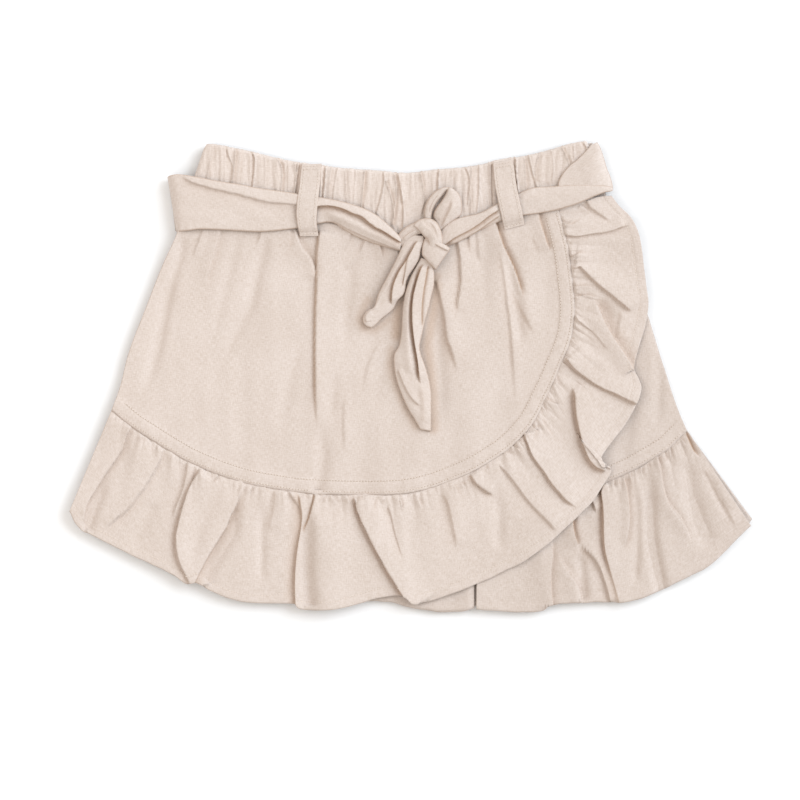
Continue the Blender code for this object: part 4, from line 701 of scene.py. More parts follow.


# The wrap's front. Its table of painted shadow browns the cloth beside the belt's tails: strength, reach,
# line
wrapPanel = {
    "layer": "wrap", "seed": 51, "broad": 0.8, "fine": 0.12, "drawn": 0.35, "sink": 2.0, "band": 0.6,
    "bandWidth": 9.0, "stitchRows": [1.8, 8.4], "stitched": (0.005, 0.985), "columns": 300, "rows": 112,
    "corner": 30.0, "cut": (0.30, 0.18, 0.045),
    "sewnEdge": seamLine(wrapRuffle, 120),
    "side": np.array([
        (-135.3, 100.8), (-139.5, 84.6), (-146.7, 69.0), (-158.1, 40.2), (-168.9, 11.4), (-173.7, -7.8),
        (-178.5, -21.0)]),
    "folds": [
        (-1, 1.5, 7, 0.4, 0.8, 3, 0.4, 0.1, 0.0,
         [(-56.1, 57.0), (-57.3, 65.4), (-59.7, 70.8), (-63.9, 76.2), (-68.1, 86.4)]),
        (1, 1.9, 9, 0.35, 1.2, 1.7, 0.5, 0.25, 0.0,
         [(-54.9, -34.2), (-56.1, -15.0), (-56.4, 3.0), (-56.4, 21.0), (-56.1, 39.0), (-55.5, 54.0),
          (-55.5, 67.8), (-54.9, 76.8), (-53.7, 85.8)]),
        (-1, 1.0, 6, 0.5, 0.5, 3, 0.2, 0.3, 0.0,
         [(-122.7, 52.2), (-120.3, 61.8), (-117.9, 70.2), (-115.5, 78.0), (-112.5, 87.6)]),
        (-1, 0.9, 4, 0.35, 0.6, 2, 0.2, 0.4, 0.0, [(-73.5, 73.8), (-71.4, 80.4), (-71.1, 87.0)]),
        (1, 0.8, 5, 0.6, 0.3, 3, 0.0, 0.4, 0.0, [(-130.5, 67.8), (-126.3, 79.2), (-122.7, 88.2)]),
        (1, 0.6, 4, 0.5, 0.25, 3, 0.0, 0.3, 0.3,
         [(-27.9, -10.2), (-23.7, 7.8), (-19.5, 16.2), (-15.3, 24.6)]),
        (1, 0.6, 4, 0.5, 0.25, 3, 0.0, 0.3, 0.3, [(-38.1, -48.6), (-39.3, -27.0), (-38.7, -10.2)]),
        (1, 0.5, 4, 0.6, 0.2, 3, 0.0, 0.4, 0.4, [(-24.9, 77.4), (-34.5, 66.6), (-42.3, 59.4)]),
        (1, 1.2, 6, 0.4, 0.8, 3, 0.3, 0.2, 0.0,
         [(27.9, 34.2), (29.4, 46.2), (30.9, 57.0), (30.3, 69.0), (28.5, 81.0)]),
        (1, 1.4, 8, 0.45, 0.8, 5, 0.3, 0.3, 0.0,
         [(29.1, -0.6), (25.5, 13.8), (22.5, 22.2), (21.3, 33.0), (18.9, 45.0), (16.5, 55.8)]),
        (1, 1.0, 8, 0.5, 0.5, 3, 0.2, 0.4, 0.1,
         [(64.5, -22.2), (62.7, 0.0), (61.5, 18.0), (60.3, 31.8), (58.5, 45.0), (56.7, 60.0), (53.7, 75.0)]),
        (-1, 1.8, 7, 0.35, 1.9, 2.3, 0.6, 0.15, 0.0,
         [(68.1, 46.2), (65.1, 56.4), (62.7, 63.6), (59.7, 70.2), (56.1, 77.4), (53.7, 84.6), (51.3, 91.8)]),
        (1, 1.0, 8, 0.7, 0.5, 5, 0.2, 0.3, 0.3, [(75.9, 23.4), (68.7, 36.6), (63.9, 45.6), (58.5, 55.2)]),
        (-1, 1.3, 6, 0.4, 1.3, 2.2, 0.4, 0.2, 0.0, [(84.3, 73.2), (81.3, 82.2), (78.3, 91.8), (76.5, 100.2)]),
        (1, 0.7, 4, 0.6, 0.3, 3, 0.0, 0.3, 0.0, [(42.3, 66.6), (41.1, 78.0), (40.5, 85.8)]),
        (1, 0.6, 4, 0.6, 0.3, 3, 0.0, 0.3, 0.3, [(78.9, 73.8), (75.9, 78.6), (73.5, 83.4)]),
        (1, 0.9, 4, 0.5, 0.9, 2.5, 0.0, 0.0, 0.6, [(-18.9, 81.0), (-17.1, 75.0), (-15.3, 66.6)]),
        (-1, 0.8, 4, 0.5, 0.6, 2.5, 0.0, 0.0, 0.6, [(-26.1, 83.4), (-28.5, 76.2), (-34.5, 67.8)]),
        (1, 0.7, 4, 0.5, 0.5, 2.5, 0.0, 0.0, 0.6, [(-34.5, 85.8), (-37.5, 78.6), (-42.9, 71.4)]),
        (-1, 0.7, 5, 0.6, 0.5, 3.0, 0.0, 0.0, 0.6, [(-87.9, 89.4), (-89.7, 82.2), (-93.3, 73.8)]),
        (1, 0.9, 5, 0.6, 0.8, 3.0, 0.0, 0.0, 0.6, [(-6.9, 75.0), (-6.3, 67.8), (-7.5, 59.4)]),
        (-1, 0.9, 5, 0.6, 0.8, 3.0, 0.0, 0.0, 0.6, [(36.3, 88.2), (35.7, 81.0), (37.5, 70.2)])],
    "hollows": [
        (2.0, 3.4, 0.3, 0.1,
         [(-164.1, -19.8), (-155.7, 0.0), (-150.9, 18.0), (-147.9, 33.0), (-143.7, 51.0), (-138.9, 67.8),
          (-134.1, 85.8)]),
        (1.5, 3.7, 0.4, 0.1,
         [(-114.9, -6.0), (-108.9, 15.0), (-101.7, 30.0), (-95.7, 42.0), (-92.1, 57.0), (-88.5, 72.0),
          (-84.9, 85.8)]),
        (0.9, 3.4, 0.4, 0.1, [(-118.5, 18.0), (-112.5, 45.0), (-106.5, 67.8), (-101.7, 85.8)]),
        (0.9, 4.1, 0.3, 0.3, [(-80.7, -39.0), (-73.5, -12.0), (-68.1, 9.0), (-63.9, 27.0)]),
        (2.5, 4.4, 0.0, 0.6, [(-55.5, -70.2), (-52.5, -54.0), (-52.5, -39.0), (-53.7, -24.0)]),
        (1.0, 3.4, 0.3, 0.3, [(-47.7, -30.0), (-46.5, -12.0), (-44.1, 3.0)]),
        (1.4, 4.1, 0.4, 0.3, [(-38.1, 9.0), (-38.7, 33.0), (-36.3, 57.0), (-35.7, 75.0)]),
        (2.2, 4.8, 0.3, 0.2, [(17.1, -36.6), (18.3, -15.0), (17.1, 15.0), (16.5, 45.0)]),
        (2.2, 3.4, 0.2, 0.2, [(66.3, 15.0), (65.1, 39.0), (61.5, 57.0), (57.9, 77.4)]),
        (0.8, 4.1, 0.4, 0.2, [(46.5, 27.0), (44.7, 63.0), (42.3, 81.0)]),
        (0.9, 4.1, 0.3, 0.3, [(-20.1, -27.0), (-17.7, -3.0), (-14.1, 18.0)])],
    "paintedShadowBesideTails": [
        (0.55, 7.0, [(-4.5, 51.0), (-6.9, 42.0), (-7.5, 33.0), (-7.5, 24.0)]),
        (0.5, 6.0,
         [(15.3, 59.4), (15.3, 45.0), (12.9, 30.0), (10.5, 18.0), (12.3, 3.0), (14.1, -12.0), (14.1, -31.8)]),
        (0.35, 5.0, [(-10.5, 15.0), (-11.1, 5.4), (-8.1, -5.4), (-3.3, -18.0), (3.9, -30.6)]),
        (0.35, 5.0, [(-24.9, 45.0), (-29.7, 34.2), (-27.3, 28.2), (-21.3, 27.0), (-12.9, 33.0)])]}

# The shorts' fronts: the right one shows, the left one lies under the wrap
legPanelRight = {
    "layer": "legFront", "seed": 61, "broad": 0.6, "fine": 0.12, "drawn": 0.3, "sink": 0.8, "band": 0.6,
    "bandWidth": 9.0, "stitchRows": [1.8, 8.4], "stitched": (0.45, 0.985), "columns": 92, "rows": 110,
    "cut": (0.20, 0.178, 0.027),
    "sewnEdge": seamLine(legRuffleRight, 60),
    "folds": [
        (1, 0.8, 6, 5.0, 0.0, 1, 0.0, 0.3, 0.3, [(155.1, -33.0), (152.7, -3.0), (147.3, 27.0)]),
        (1, 0.7, 7, 5.0, 0.0, 1, 0.0, 0.3, 0.3, [(143.1, -33.0), (145.5, 9.0), (138.3, 45.0)])],
    "hollows": [
        (0.9, 3.4, 0.3, 0.3, [(147.3, -39.0), (150.3, 15.0), (145.5, 45.0)]),
        (0.9, 4.1, 0.2, 0.2, [(126.3, -54.6), (129.9, -39.0), (135.9, -15.0)])]}

legPanelLeft = {
    "layer": "legFront", "seed": 71, "broad": 0.1, "fine": 0.05, "drawn": 0.0, "sink": 0.8, "band": 0.0,
    "bandWidth": 9.0, "stitchRows": [], "columns": 40, "rows": 40, "cut": (0.24, 0.185, 0.033), "folds": [],
    "hollows": [], "sewnEdge": seamLine(legRuffleLeft, 40)}

# The shorts' side lines and centre seam, from the waist down
legSideLeft = np.array([
    (-134.7, 100.8), (-138.9, 83.4), (-146.1, 66.0), (-155.7, 40.2), (-166.5, 11.4), (-171.9, -12.0),
    (-171.9, -30.0)])
legSideRight = np.array([
    (116.7, 111.6), (126.3, 83.4), (141.9, 39.0), (152.7, 4.2), (162.3, -24.0), (166.5, -33.6)])
centreSeam = np.array([(-5.7, 84.3), (2.1, 45.0), (12.9, -3.0), (27.3, -49.8), (39.9, -74.4)])


def panelHeight(panel, x, y):
    # The layer's level, the rise to the waist, folds, broad and fine unevenness, and a raised band
    # along the sewn edge with a furrow under each row of stitches and under the seam itself.
    height, _, _, creaseShade = folds(panel["folds"], x, y)
    height = height - hollows(panel["hollows"], x, y)
    # painted shadow: the colour beside the belt's tails is browned
    for strength, reach, line in panel.get("paintedShadowBesideTails", []):
        beside = np.abs(toLine(np.array(line), x, y)[0])
        creaseShade = np.maximum(creaseShade, strength * ease(1 - beside / reach))
    seed = panel["seed"]
    broad = panel["broad"] * (waves(x / 22.0, y / 90.0, seed) + 0.5 * waves(x / 11.0, y / 50.0, seed + 1))
    fine = panel["fine"] * waves(x / 7.0, y / 8.0, seed + 2)
    z = layer[panel["layer"]] + riseToWaist(y) + height + broad + fine
    away, place = toLine(panel["sewnEdge"], x, y)[:2]
    away = np.abs(away)
    z = z + panel["drawn"] * waves(place * 110.0, away / 12.0, seed + 3) * bell(away / 6.0)
    z = z + panel["band"] * ease((panel["bandWidth"] + 0.6 - away) / 1.2)
    for row in panel["stitchRows"]:
        z = z - 0.3 * bell((away - row) / 0.8)
    z = z - 0.5 * bell(away / 0.7)
    return np.maximum(z, layer[panel["layer"]] + riseToWaist(y) - panel["sink"]), creaseShade


def stitchesBeside(panel, distance):
    # a line on the panel at a distance from its sewn edge, over the stitched part of the edge
    edge = alongLine(panel["sewnEdge"], np.linspace(*panel["stitched"], 400))
    run = np.gradient(edge, axis=0)
    run = run / np.hypot(run[:, 0], run[:, 1])[:, None]
    line = edge + distance * np.stack([-run[:, 1], run[:, 0]], axis=-1)
    return np.column_stack([line, panelHeight(panel, line[:, 0], line[:, 1])[0]])


def panelGrid(panel, fromX, toX, left, right, lowerEdge):
    # a panel's grid between the waist, its two sides, a place for each row, and its sewn lower edge
    u = np.linspace(0, 1, panel["columns"] + 1)
    v = np.linspace(0, 1, panel["rows"] + 1)
    top = underWaist(fromX + (toX - fromX) * u, -0.4)
    bottom = lowerEdge(u)
    fade = (1 - v)[:, None]
    left = left + (top[0] - left[0]) * fade ** 2 + (bottom[0] - left[-1]) * (1 - fade) ** 2
    right = right + (top[-1] - right[0]) * fade ** 2 + (bottom[-1] - right[-1]) * (1 - fade) ** 2
    place = insideEdges(top, bottom, left, right, u, v)
    return place[..., 0], place[..., 1]


def makePanel(node, panel, x, y, finish):
    # a panel's cloth on its grid
    z, creaseShade = panelHeight(panel, x, y)
    piece = clothPiece(node, x, y, z, clothWall, finish, creaseShade=creaseShade)
    sewnIn(piece, [node])


# The back is the front's shape, plain and a little smaller. Its ruffles' inner ribs lie aside of the
# front's gap, by rib and distance, and the right one's last hems are drawn in.
backPanel = {"layer": "legBack", "folds": [], "hollows": [], "broad": 0.05, "fine": 0.03, "band": 0.0,
             "stitchRows": [], "columns": 40, "rows": 40, "inset": 0.5}
backRuffle = {"folds": [], "hollows": [], "columns": 130, "rows": 18, "gather": 0.5, "lift": 0.35}
backRibs = {"length": 0.97, "left": (-1, -1.6), "right": (0, -2.2),
            "lastOnRight": [(194.1, -99.6), (200.7, -93.6), (205.5, -86.4)]}


def makeHalf(name, fromX, toX, left, right, panel, ruffle):
    # one leg: front panel, back panel, front ruffle, back ruffle
    ribs = ruffle["ribs"]
    last = len(ribs["seam"]) - 1

    def lowerEdge(u):
        return alongTable(ribs, "seam", u * last)

    for side, form, restsOn in (("front", panel, [f"leg_back_{name}"]), ("back", {**panel, **backPanel}, ())):
        inset = form.get("inset", 0.0)
        v = np.linspace(0, 1, form["rows"] + 1)
        x, y = panelGrid(form, fromX + inset, toX - inset, alongLine(left, v), alongLine(right, v), lowerEdge)
        makePanel(f"leg_{side}_{name}", form, x, y, shadedLegLinen)
    makeRuffle(f"leg_ruffle_front_{name}", ruffle, layer["legFront"] - ruffle["under"], shadedLegLinen)
    seam = ribs["seam"].copy()
    hem = seam + (ribs["hem"] - seam) * backRibs["length"]
    inner, aside = backRibs[name]
    hem[inner, 0] += aside
    seam[inner, 0] += aside
    if name == "right":
        hem[-3:] = backRibs["lastOnRight"]
    hidden = {**ruffle, **backRuffle, "ribs": {"seam": seam, "hem": hem}, "seed": ruffle["seed"] + 7}
    makeRuffle(f"leg_ruffle_back_{name}", hidden, layer["legBack"], shadedLegLinen)


def makeShorts():
    # both legs, a little apart at the centre seam
    middle = centreSeam[0, 0]
    apart = 0.2
    makeHalf("left", legSideLeft[0, 0], middle - apart, legSideLeft, centreSeam, legPanelLeft, legRuffleLeft)
    makeHalf("right", middle + apart, legSideRight[0, 0], centreSeam, legSideRight, legPanelRight,
             legRuffleRight)


def makeWrap():
    # the wrap front over the shorts, the ruffle along its curved edge, and the sewing
    ribs = wrapRuffle["ribs"]
    side = wrapPanel["side"]
    corner = wrapPanel["corner"]
    last = len(ribs["seam"]) - 1

    def lowerEdge(u):
        return alongTable(ribs, "seam", u * corner)

    v = np.linspace(0, 1, wrapPanel["rows"] + 1)
    right = alongTable(ribs, "seam", last + (corner - last) * v)
    x, y = panelGrid(wrapPanel, side[0, 0], ribs["seam"][-1, 0], alongLine(side, v), right, lowerEdge)
    makePanel("wrap_front", wrapPanel, x, y, linen)
    legLine = np.concatenate([legRuffleLeft["ribs"]["seam"], legRuffleRight["ribs"]["seam"]])

    def overLegs(x, y):
        # the wrap's ruffle climbs where the leg ruffles lie under it, more on the right, and to the waist
        below = curveThrough(legLine[:, 0], legLine[:, 1], x) - y
        more = wrapRuffle["moreLift"] * ease((x - wrapRuffle["moreFrom"]) / wrapRuffle["moreRun"])
        climb = ease((below + wrapRuffle["liftFrom"]) / wrapRuffle["liftRun"])
        return (wrapRuffle["lift"] + more) * climb + riseToWaist(y)

    surface = makeRuffle("wrap_ruffle", wrapRuffle, layer["wrap"] - wrapRuffle["under"], linen,
                         overLegs)
    rows = [stitchesBeside(panel, away)
            for panel in (wrapPanel, legPanelRight) for away in panel["stitchRows"]]
    stitchRows("topstitches", rows)
    stitchRows("hem_stitches", [hemLine(surface, wrapRuffle["hemBand"])])


# The elastic casing: its puffs' height, its rolled edges' radii, its two sides and its top edge
casing = {
    "puff": 1.125, "roll": 2.4, "endRoll": 2.6, "cut": (0.30, 0.04),
    "front": {"columns": 460, "rows": 52, "seed": 81, "inset": 0.0, "level": layer["waistFront"]},
    "back": {"columns": 160, "rows": 16, "seed": 90, "inset": 1.0, "level": layer["waistBack"]},
    "top": np.array([
        (-122.1, 139.2), (-117.3, 138.9), (-108.9, 137.4), (-94.5, 134.4), (-71.7, 129.0), (-53.7, 126.3),
        (-41.7, 124.8), (-17.7, 123.0), (-5.7, 121.8), (18.3, 123.9), (42.3, 126.6), (54.3, 129.9),
        (66.3, 131.4), (84.3, 135.6), (96.3, 139.2), (106.5, 141.0)])}

# Grooves between the waistband's gathers, from its top edge down: depth, which side is sharp, places
gatherGrooves = [
    (0.8, 1, [(-115.5, 139.2), (-118.2, 131.4), (-121.2, 117.0)]),
    (1.0, -1, [(-109.2, 138.0), (-108.3, 131.4), (-105.9, 126.0), (-107.1, 113.4)]),
    (1.3, 1, [(-104.1, 136.8), (-104.5, 126.6), (-105.9, 113.4)]),
    (0.8, 1, [(-100.7, 136.2), (-101.7, 124.8), (-102.9, 113.4)]),
    (1.6, -1, [(-94.5, 135.0), (-92.7, 130.2), (-92.7, 125.4), (-94.1, 111.0)]),
    (0.5, 1, [(-86.7, 133.2), (-86.1, 123.0), (-86.7, 111.0)]),
    (1.4, 1, [(-79.8, 131.4), (-76.9, 125.4), (-76.6, 108.6)]),
    (0.6, -1, [(-72.9, 129.6), (-72.6, 119.4), (-72.9, 108.0)]),
    (0.9, 1, [(-68.7, 128.4), (-68.1, 118.2), (-68.3, 107.4)]),
    (2.4, 1, [(-66.6, 127.2), (-67.5, 119.4), (-69.3, 106.2)]),
    (2.4, -1, [(-50.1, 126.0), (-50.5, 116.4), (-51.6, 105.6)]),
    (1.0, 1, [(-46.6, 124.8), (-47.8, 115.2), (-48.0, 104.4)]),
    (0.8, -1, [(-42.9, 124.8), (-44.7, 114.6), (-45.9, 103.8)]),
    (0.6, 1, [(-38.7, 124.2), (-38.1, 114.0), (-39.3, 102.0)]),
    (0.6, -1, [(-32.1, 123.6), (-32.7, 113.4), (-33.9, 100.2)]),
    (1.5, 1, [(-26.7, 123.0), (-27.3, 114.6), (-29.1, 99.0)]),
    (1.2, -1, [(-15.3, 122.4), (-15.1, 116.4), (-16.1, 109.8), (-19.7, 96.6)]),
    (1.3, 1, [(-14.1, 116.4), (-11.1, 107.4), (-9.3, 97.8), (-10.5, 89.4)]),
    (2.0, 1, [(-9.3, 121.8), (-7.8, 112.8), (-8.3, 103.8), (-9.9, 89.4)]),
    (1.5, -1, [(-6.9, 121.8), (-4.5, 107.4), (-3.4, 97.2), (-3.9, 88.2)]),
    (1.0, 1, [(-3.3, 105.0), (-5.7, 97.8), (-6.3, 87.0)]),
    (1.3, 1, [(6.3, 123.0), (8.4, 111.0), (8.7, 105.0), (6.9, 96.6)]),
    (1.8, -1, [(18.0, 124.2), (17.4, 118.2), (17.1, 108.0)]), (0.6, 1, [(25.5, 124.8), (25.5, 114.0)]),
    (1.0, -1, [(33.3, 126.0), (35.7, 119.4), (35.1, 102.0)]),
    (0.9, 1, [(37.5, 126.6), (36.6, 107.4), (36.9, 96.0)]),
    (1.1, -1, [(41.7, 127.2), (41.7, 111.0), (40.5, 97.2)]),
    (1.6, 1, [(48.3, 129.0), (48.3, 120.0), (48.9, 102.0)]),
    (2.2, -1, [(63.6, 131.4), (63.9, 121.8), (65.1, 108.0)]),
    (1.2, 1, [(68.7, 132.0), (69.3, 123.0), (69.9, 109.8)]),
    (1.2, -1, [(71.4, 132.3), (72.9, 124.2), (76.5, 112.2)]),
    (1.0, 1, [(78.9, 134.4), (75.9, 126.0), (75.6, 115.8)]),
    (0.7, -1, [(84.9, 135.6), (86.1, 126.0), (85.5, 114.6)]),
    (1.3, 1, [(90.9, 137.4), (94.5, 129.6), (97.5, 123.0)]), (0.8, -1, [(98.1, 139.8), (98.7, 129.0)]),
    (1.2, -1, [(103.5, 141.0), (106.5, 135.0), (108.3, 126.0)])]


def makeWaistband(side):
    # Rows from the top edge down to the waist seam. Between grooves the cloth puffs up; each groove
    # has a sharp side and a soft one. The top edge and both ends roll over, and the top is scalloped.
    form = casing[side]
    top = casing["top"]
    inset = form["inset"]
    u = np.linspace(0, 1, form["columns"] + 1)[None, :]
    v = np.linspace(0, 1, form["rows"] + 1)[:, None] ** 1.25       # closer rows near the top edge

    def across(line):
        # x from one end of a line to the other
        return line[0, 0] + inset + (line[-1, 0] - line[0, 0] - 2 * inset) * u

    topY = curveThrough(top[:, 0], top[:, 1], across(top)) - inset
    seamY = curveThrough(waistSeam[:, 0], waistSeam[:, 1], across(waistSeam))
    x = across(top) * (1 - v) + across(waistSeam) * v
    y = topY * (1 - v) + seamY * v
    down = (topY - seamY) * v
    seed = form["seed"]
    puffed = np.abs(waves(x / 5.5, down / 40.0, seed)) + 0.5 * np.abs(waves(x / 2.6, down / 22.0, seed + 1))
    z = casing["puff"] * puffed
    creaseShade = 0 * z
    if side == "front":
        sharpSides = [(sharp, 0.0, 1.0, 0.35, depth, 1.7, 0.0, 0.0, 0.0, line)
                      for depth, sharp, line in gatherGrooves]
        softSides = [(-sharp, depth * 0.75, 3.2, 0.4, 0.0, 1.0, 0.25, 0.0, 0.0, line)
                     for depth, sharp, line in gatherGrooves]
        groove, _, _, dark = folds(sharpSides, x, y)
        # painted shade: the grooves' sharp sides darken the colour
        creaseShade = 0.4 * dark
        z = z + groove + folds(softSides, x, y)[0]
    fromEnd = (x - x[:, :1]) * (x[:, -1:] - x) / (x[:, -1:] - x[:, :1])
    z = z * ease(down / 2.5 + 0.25)
    z = z - rolledDown(down, casing["roll"])
    z = z - rolledDown(fromEnd, casing["endRoll"])
    crest = z[12:13]        # a row just under the rolled top edge
    scallop = (crest - crest.max()) * 0.35 * (1 - ease(down / 5.0))
    z = form["level"] + z
    band = clothPiece(f"waistband_{side}", x, y + scallop, z, bandWall, litWaistLinen, creaseShade=creaseShade)
    sewnIn(band, [f"waistband_{side}"])


# The belt. A section of a band is its upper and lower edge point, their heights over the belt's
# level, and the crown between them. "lengthwise" and "crosswise" count the steps of its grid. Most
# bands share a wall and the way they are held.
beltCommon = {"wall": 0.9, "held": "folded"}

beltLeft = {
    "lengthwise": 240, "crosswise": 42, "wall": 1.0, "edge": 1.3, "seed": 101, "cut": (0.15, 0.033),
    "sections": [
        ((-145.1, 118.5), (-139.7, 85.6), -6.6, -6.6, 0.0),
        ((-144.5, 118.9), (-138.9, 85.7), -3.8, -3.8, 0.0),
        ((-142.5, 119.6), (-136.8, 85.9), -1.6, -1.6, 0.2),
        ((-138.3, 120.1), (-132.1, 86.3), -0.5, -0.5, 0.3),
        ((-129.9, 119.2), (-125.1, 87.1), -0.2, -0.2, 0.4),
        ((-114.3, 116.1), (-111.4, 86.7), -0.2, -0.4, 0.5),
        ((-101.7, 114.2), (-101.1, 86.1), -0.2, -0.4, 0.5), ((-92.7, 112.3), (-90.9, 85.6), -0.2, -0.4, 0.5),
        ((-83.7, 110.9), (-82.5, 86.0), -0.2, -0.4, 0.5), ((-74.7, 109.7), (-74.7, 86.8), -0.2, -0.4, 0.5),
        ((-66.3, 108.4), (-66.3, 87.9), -0.2, -0.4, 0.4), ((-60.3, 107.4), (-60.3, 89.4), -0.2, -0.5, 0.5),
        ((-54.2, 106.6), (-54.9, 90.4), -0.1, -0.8, 0.6), ((-48.3, 105.6), (-49.3, 91.3), 0.0, -1.2, 1.0),
        ((-41.7, 104.3), (-44.7, 90.6), 0.0, -1.6, 1.4), ((-33.9, 102.1), (-39.3, 87.0), 0.0, -1.8, 1.6),
        ((-27.3, 99.8), (-32.1, 82.8), 0.0, -1.8, 1.8), ((-20.7, 96.4), (-24.9, 79.9), 0.0, -1.8, 1.8),
        ((-14.7, 91.8), (-17.7, 77.4), 0.0, -1.8, 1.6), ((-9.3, 87.0), (-11.1, 75.6), -0.2, -1.6, 1.4),
        ((-4.5, 82.2), (-5.7, 74.1), -0.4, -1.2, 1.0)],
    "folds": [
        (-1, 1.3, 9, 0.4, 0.5, 6, 0.6, 0.12, 0.0,
         [(-138.3, 119.9), (-129.9, 115.8), (-122.4, 113.4), (-111.3, 110.6), (-104.5, 109.2), (-94.1, 106.4),
          (-86.6, 104.4), (-76.9, 103.4), (-66.3, 102.2), (-54.9, 101.4)]),
        (-1, 1.9, 5.0, 0.3, 1.7, 3.2, 0.6, 0.0, 0.04,
         [(-56.1, 101.4), (-47.3, 101.7), (-40.2, 100.1), (-33.7, 97.2), (-27.9, 94.9), (-23.3, 91.0),
          (-19.4, 88.4), (-14.2, 85.8), (-10.3, 83.2), (-3.9, 79.2)]),
        (1, 1.7, 3.2, 3.0, 0.0, 1, 0.0, 0.15, 0.1,
         [(-51.9, 97.2), (-41.7, 93.9), (-34.5, 90.6), (-26.1, 86.7), (-17.7, 83.1), (-10.5, 79.8),
          (-3.3, 76.8)]),
        (-1, 0.9, 3, 0.4, 0.6, 2, 0.2, 0.15, 0.1,
         [(-45.9, 93.0), (-36.9, 87.7), (-27.2, 83.2), (-14.2, 78.0), (-5.7, 75.2)]),
        (-1, 0.6, 4, 1.0, 0.3, 3, 0.0, 0.4, 0.2, [(-78.3, 99.0), (-72.9, 101.1), (-65.7, 104.4)])]}

beltRight = {
    "lengthwise": 220, "crosswise": 34, "wall": 1.0, "edge": 1.2, "seed": 111, "cut": (0.113, 0.018),
    "sections": [
        ((18.3, 86.1), (20.1, 75.9), -0.6, -1.4, 0.8), ((21.9, 89.7), (23.7, 77.4), -0.2, -1.6, 1.4),
        ((26.9, 93.0), (28.5, 79.2), 0.0, -1.6, 1.8), ((32.7, 94.9), (35.1, 82.5), 0.0, -1.6, 1.8),
        ((38.7, 96.1), (42.0, 86.4), 0.0, -1.4, 1.6), ((44.7, 98.4), (48.9, 89.4), 0.0, -1.2, 1.2),
        ((50.7, 101.7), (54.9, 92.1), 0.0, -0.8, 0.8), ((57.3, 105.3), (61.5, 93.6), -0.1, -0.6, 0.6),
        ((64.8, 108.4), (67.8, 95.3), -0.1, -0.5, 0.6), ((68.1, 110.0), (72.3, 96.0), 0.0, -0.5, 0.8),
        ((74.7, 112.2), (78.3, 96.8), 0.0, -0.5, 0.9), ((85.1, 112.8), (87.9, 98.6), 0.0, -0.5, 0.9),
        ((98.0, 113.8), (99.9, 102.2), 0.0, -0.4, 0.8), ((108.7, 113.6), (109.2, 106.2), 0.0, -0.4, 0.6),
        ((115.5, 113.4), (116.4, 109.0), -0.4, -0.6, 0.3), ((120.0, 112.8), (120.2, 109.8), -2.6, -2.6, 0.1),
        ((122.0, 112.4), (121.9, 110.6), -6.4, -6.4, 0.0)],
    "folds": [
        (-1, 1.5, 5, 0.35, 1.4, 2.2, 0.5, 0.0, 0.1,
         [(19.5, 77.4), (26.9, 82.5), (33.3, 85.8), (42.3, 91.6), (48.3, 96.3), (54.3, 99.6)]),
        (1, 1.1, 2.2, 2.0, 0.0, 1, 0.0, 0.1, 0.1,
         [(22.5, 78.2), (28.5, 81.3), (35.1, 84.6), (42.9, 89.4), (49.5, 93.9), (55.5, 97.2)]),
        (-1, 0.8, 4, 0.5, 0.4, 2.5, 0.3, 0.2, 0.2, [(30.9, 85.8), (36.3, 89.7), (41.1, 93.9), (47.1, 98.4)]),
        (-1, 1.0, 3, 0.6, 1.2, 1.6, 0.4, 0.2, 0.1, [(34.5, 83.4), (40.5, 86.7), (46.5, 90.9), (53.7, 96.0)]),
        (1, 0.6, 3, 1.0, 0.3, 2, 0.0, 0.3, 0.3, [(65.7, 105.6), (69.9, 108.6), (75.3, 110.4)]),
        (1, 0.5, 3, 1.5, 0.3, 2, 0.0, 0.3, 0.3, [(68.1, 103.2), (74.1, 105.9), (81.9, 107.4)])]}

beltRightFold = {
    "lengthwise": 70, "crosswise": 46, "wall": 1.0, "edge": 1.1, "seed": 121, "cut": (0.03, 0.028),
    "bend": 8.0,
    "sections": [
        ((108.3, 137.6), (112.5, 139.4), -1.4, -4.6, 0.0), ((106.6, 135.4), (114.6, 135.6), -0.9, -5.6, 0.3),
        ((101.1, 129.6), (116.6, 129.8), -0.7, -6.2, 0.6), ((95.0, 124.6), (118.4, 123.7), -0.7, -6.4, 0.6),
        ((90.9, 119.4), (120.0, 120.0), -0.7, -6.4, 0.5), ((89.0, 115.2), (121.4, 115.5), -0.6, -6.4, 0.3),
        ((88.7, 112.8), (121.9, 112.6), -0.6, -6.4, 0.2)],
    "folds": [
        (1, 0.5, 5, 2.0, 0.2, 2, 0.0, 0.3, 0.3, [(104.1, 114.6), (109.5, 119.4), (116.7, 122.4)]),
        (1, 0.5, 5, 2.0, 0.2, 2, 0.0, 0.3, 0.3, [(101.1, 121.8), (107.1, 126.6), (113.1, 131.4)])]}

beltBack = {
    "lengthwise": 160, "crosswise": 20, "wall": 1.0, "edge": 0.8, "seed": 131, "cut": (0.262, 0.033),
    "held": "laid",
    "sections": [
        ((-144.3, 117.9), (-140.4, 86.4), -8.2, -8.2, 0.0),
        ((-107.7, 117.0), (-106.5, 85.2), -8.2, -8.2, 0.0), ((-59.7, 115.8), (-59.7, 84.0), -8.2, -8.2, 0.0),
        ((-5.7, 117.0), (-5.7, 84.6), -8.2, -8.2, 0.0), ((54.3, 122.4), (57.9, 89.4), -8.2, -8.2, 0.0),
        ((90.3, 135.0), (99.9, 103.2), -8.2, -8.2, 0.0), ((109.5, 139.2), (120.9, 112.8), -8.2, -8.2, 0.0)],
    "folds": []}

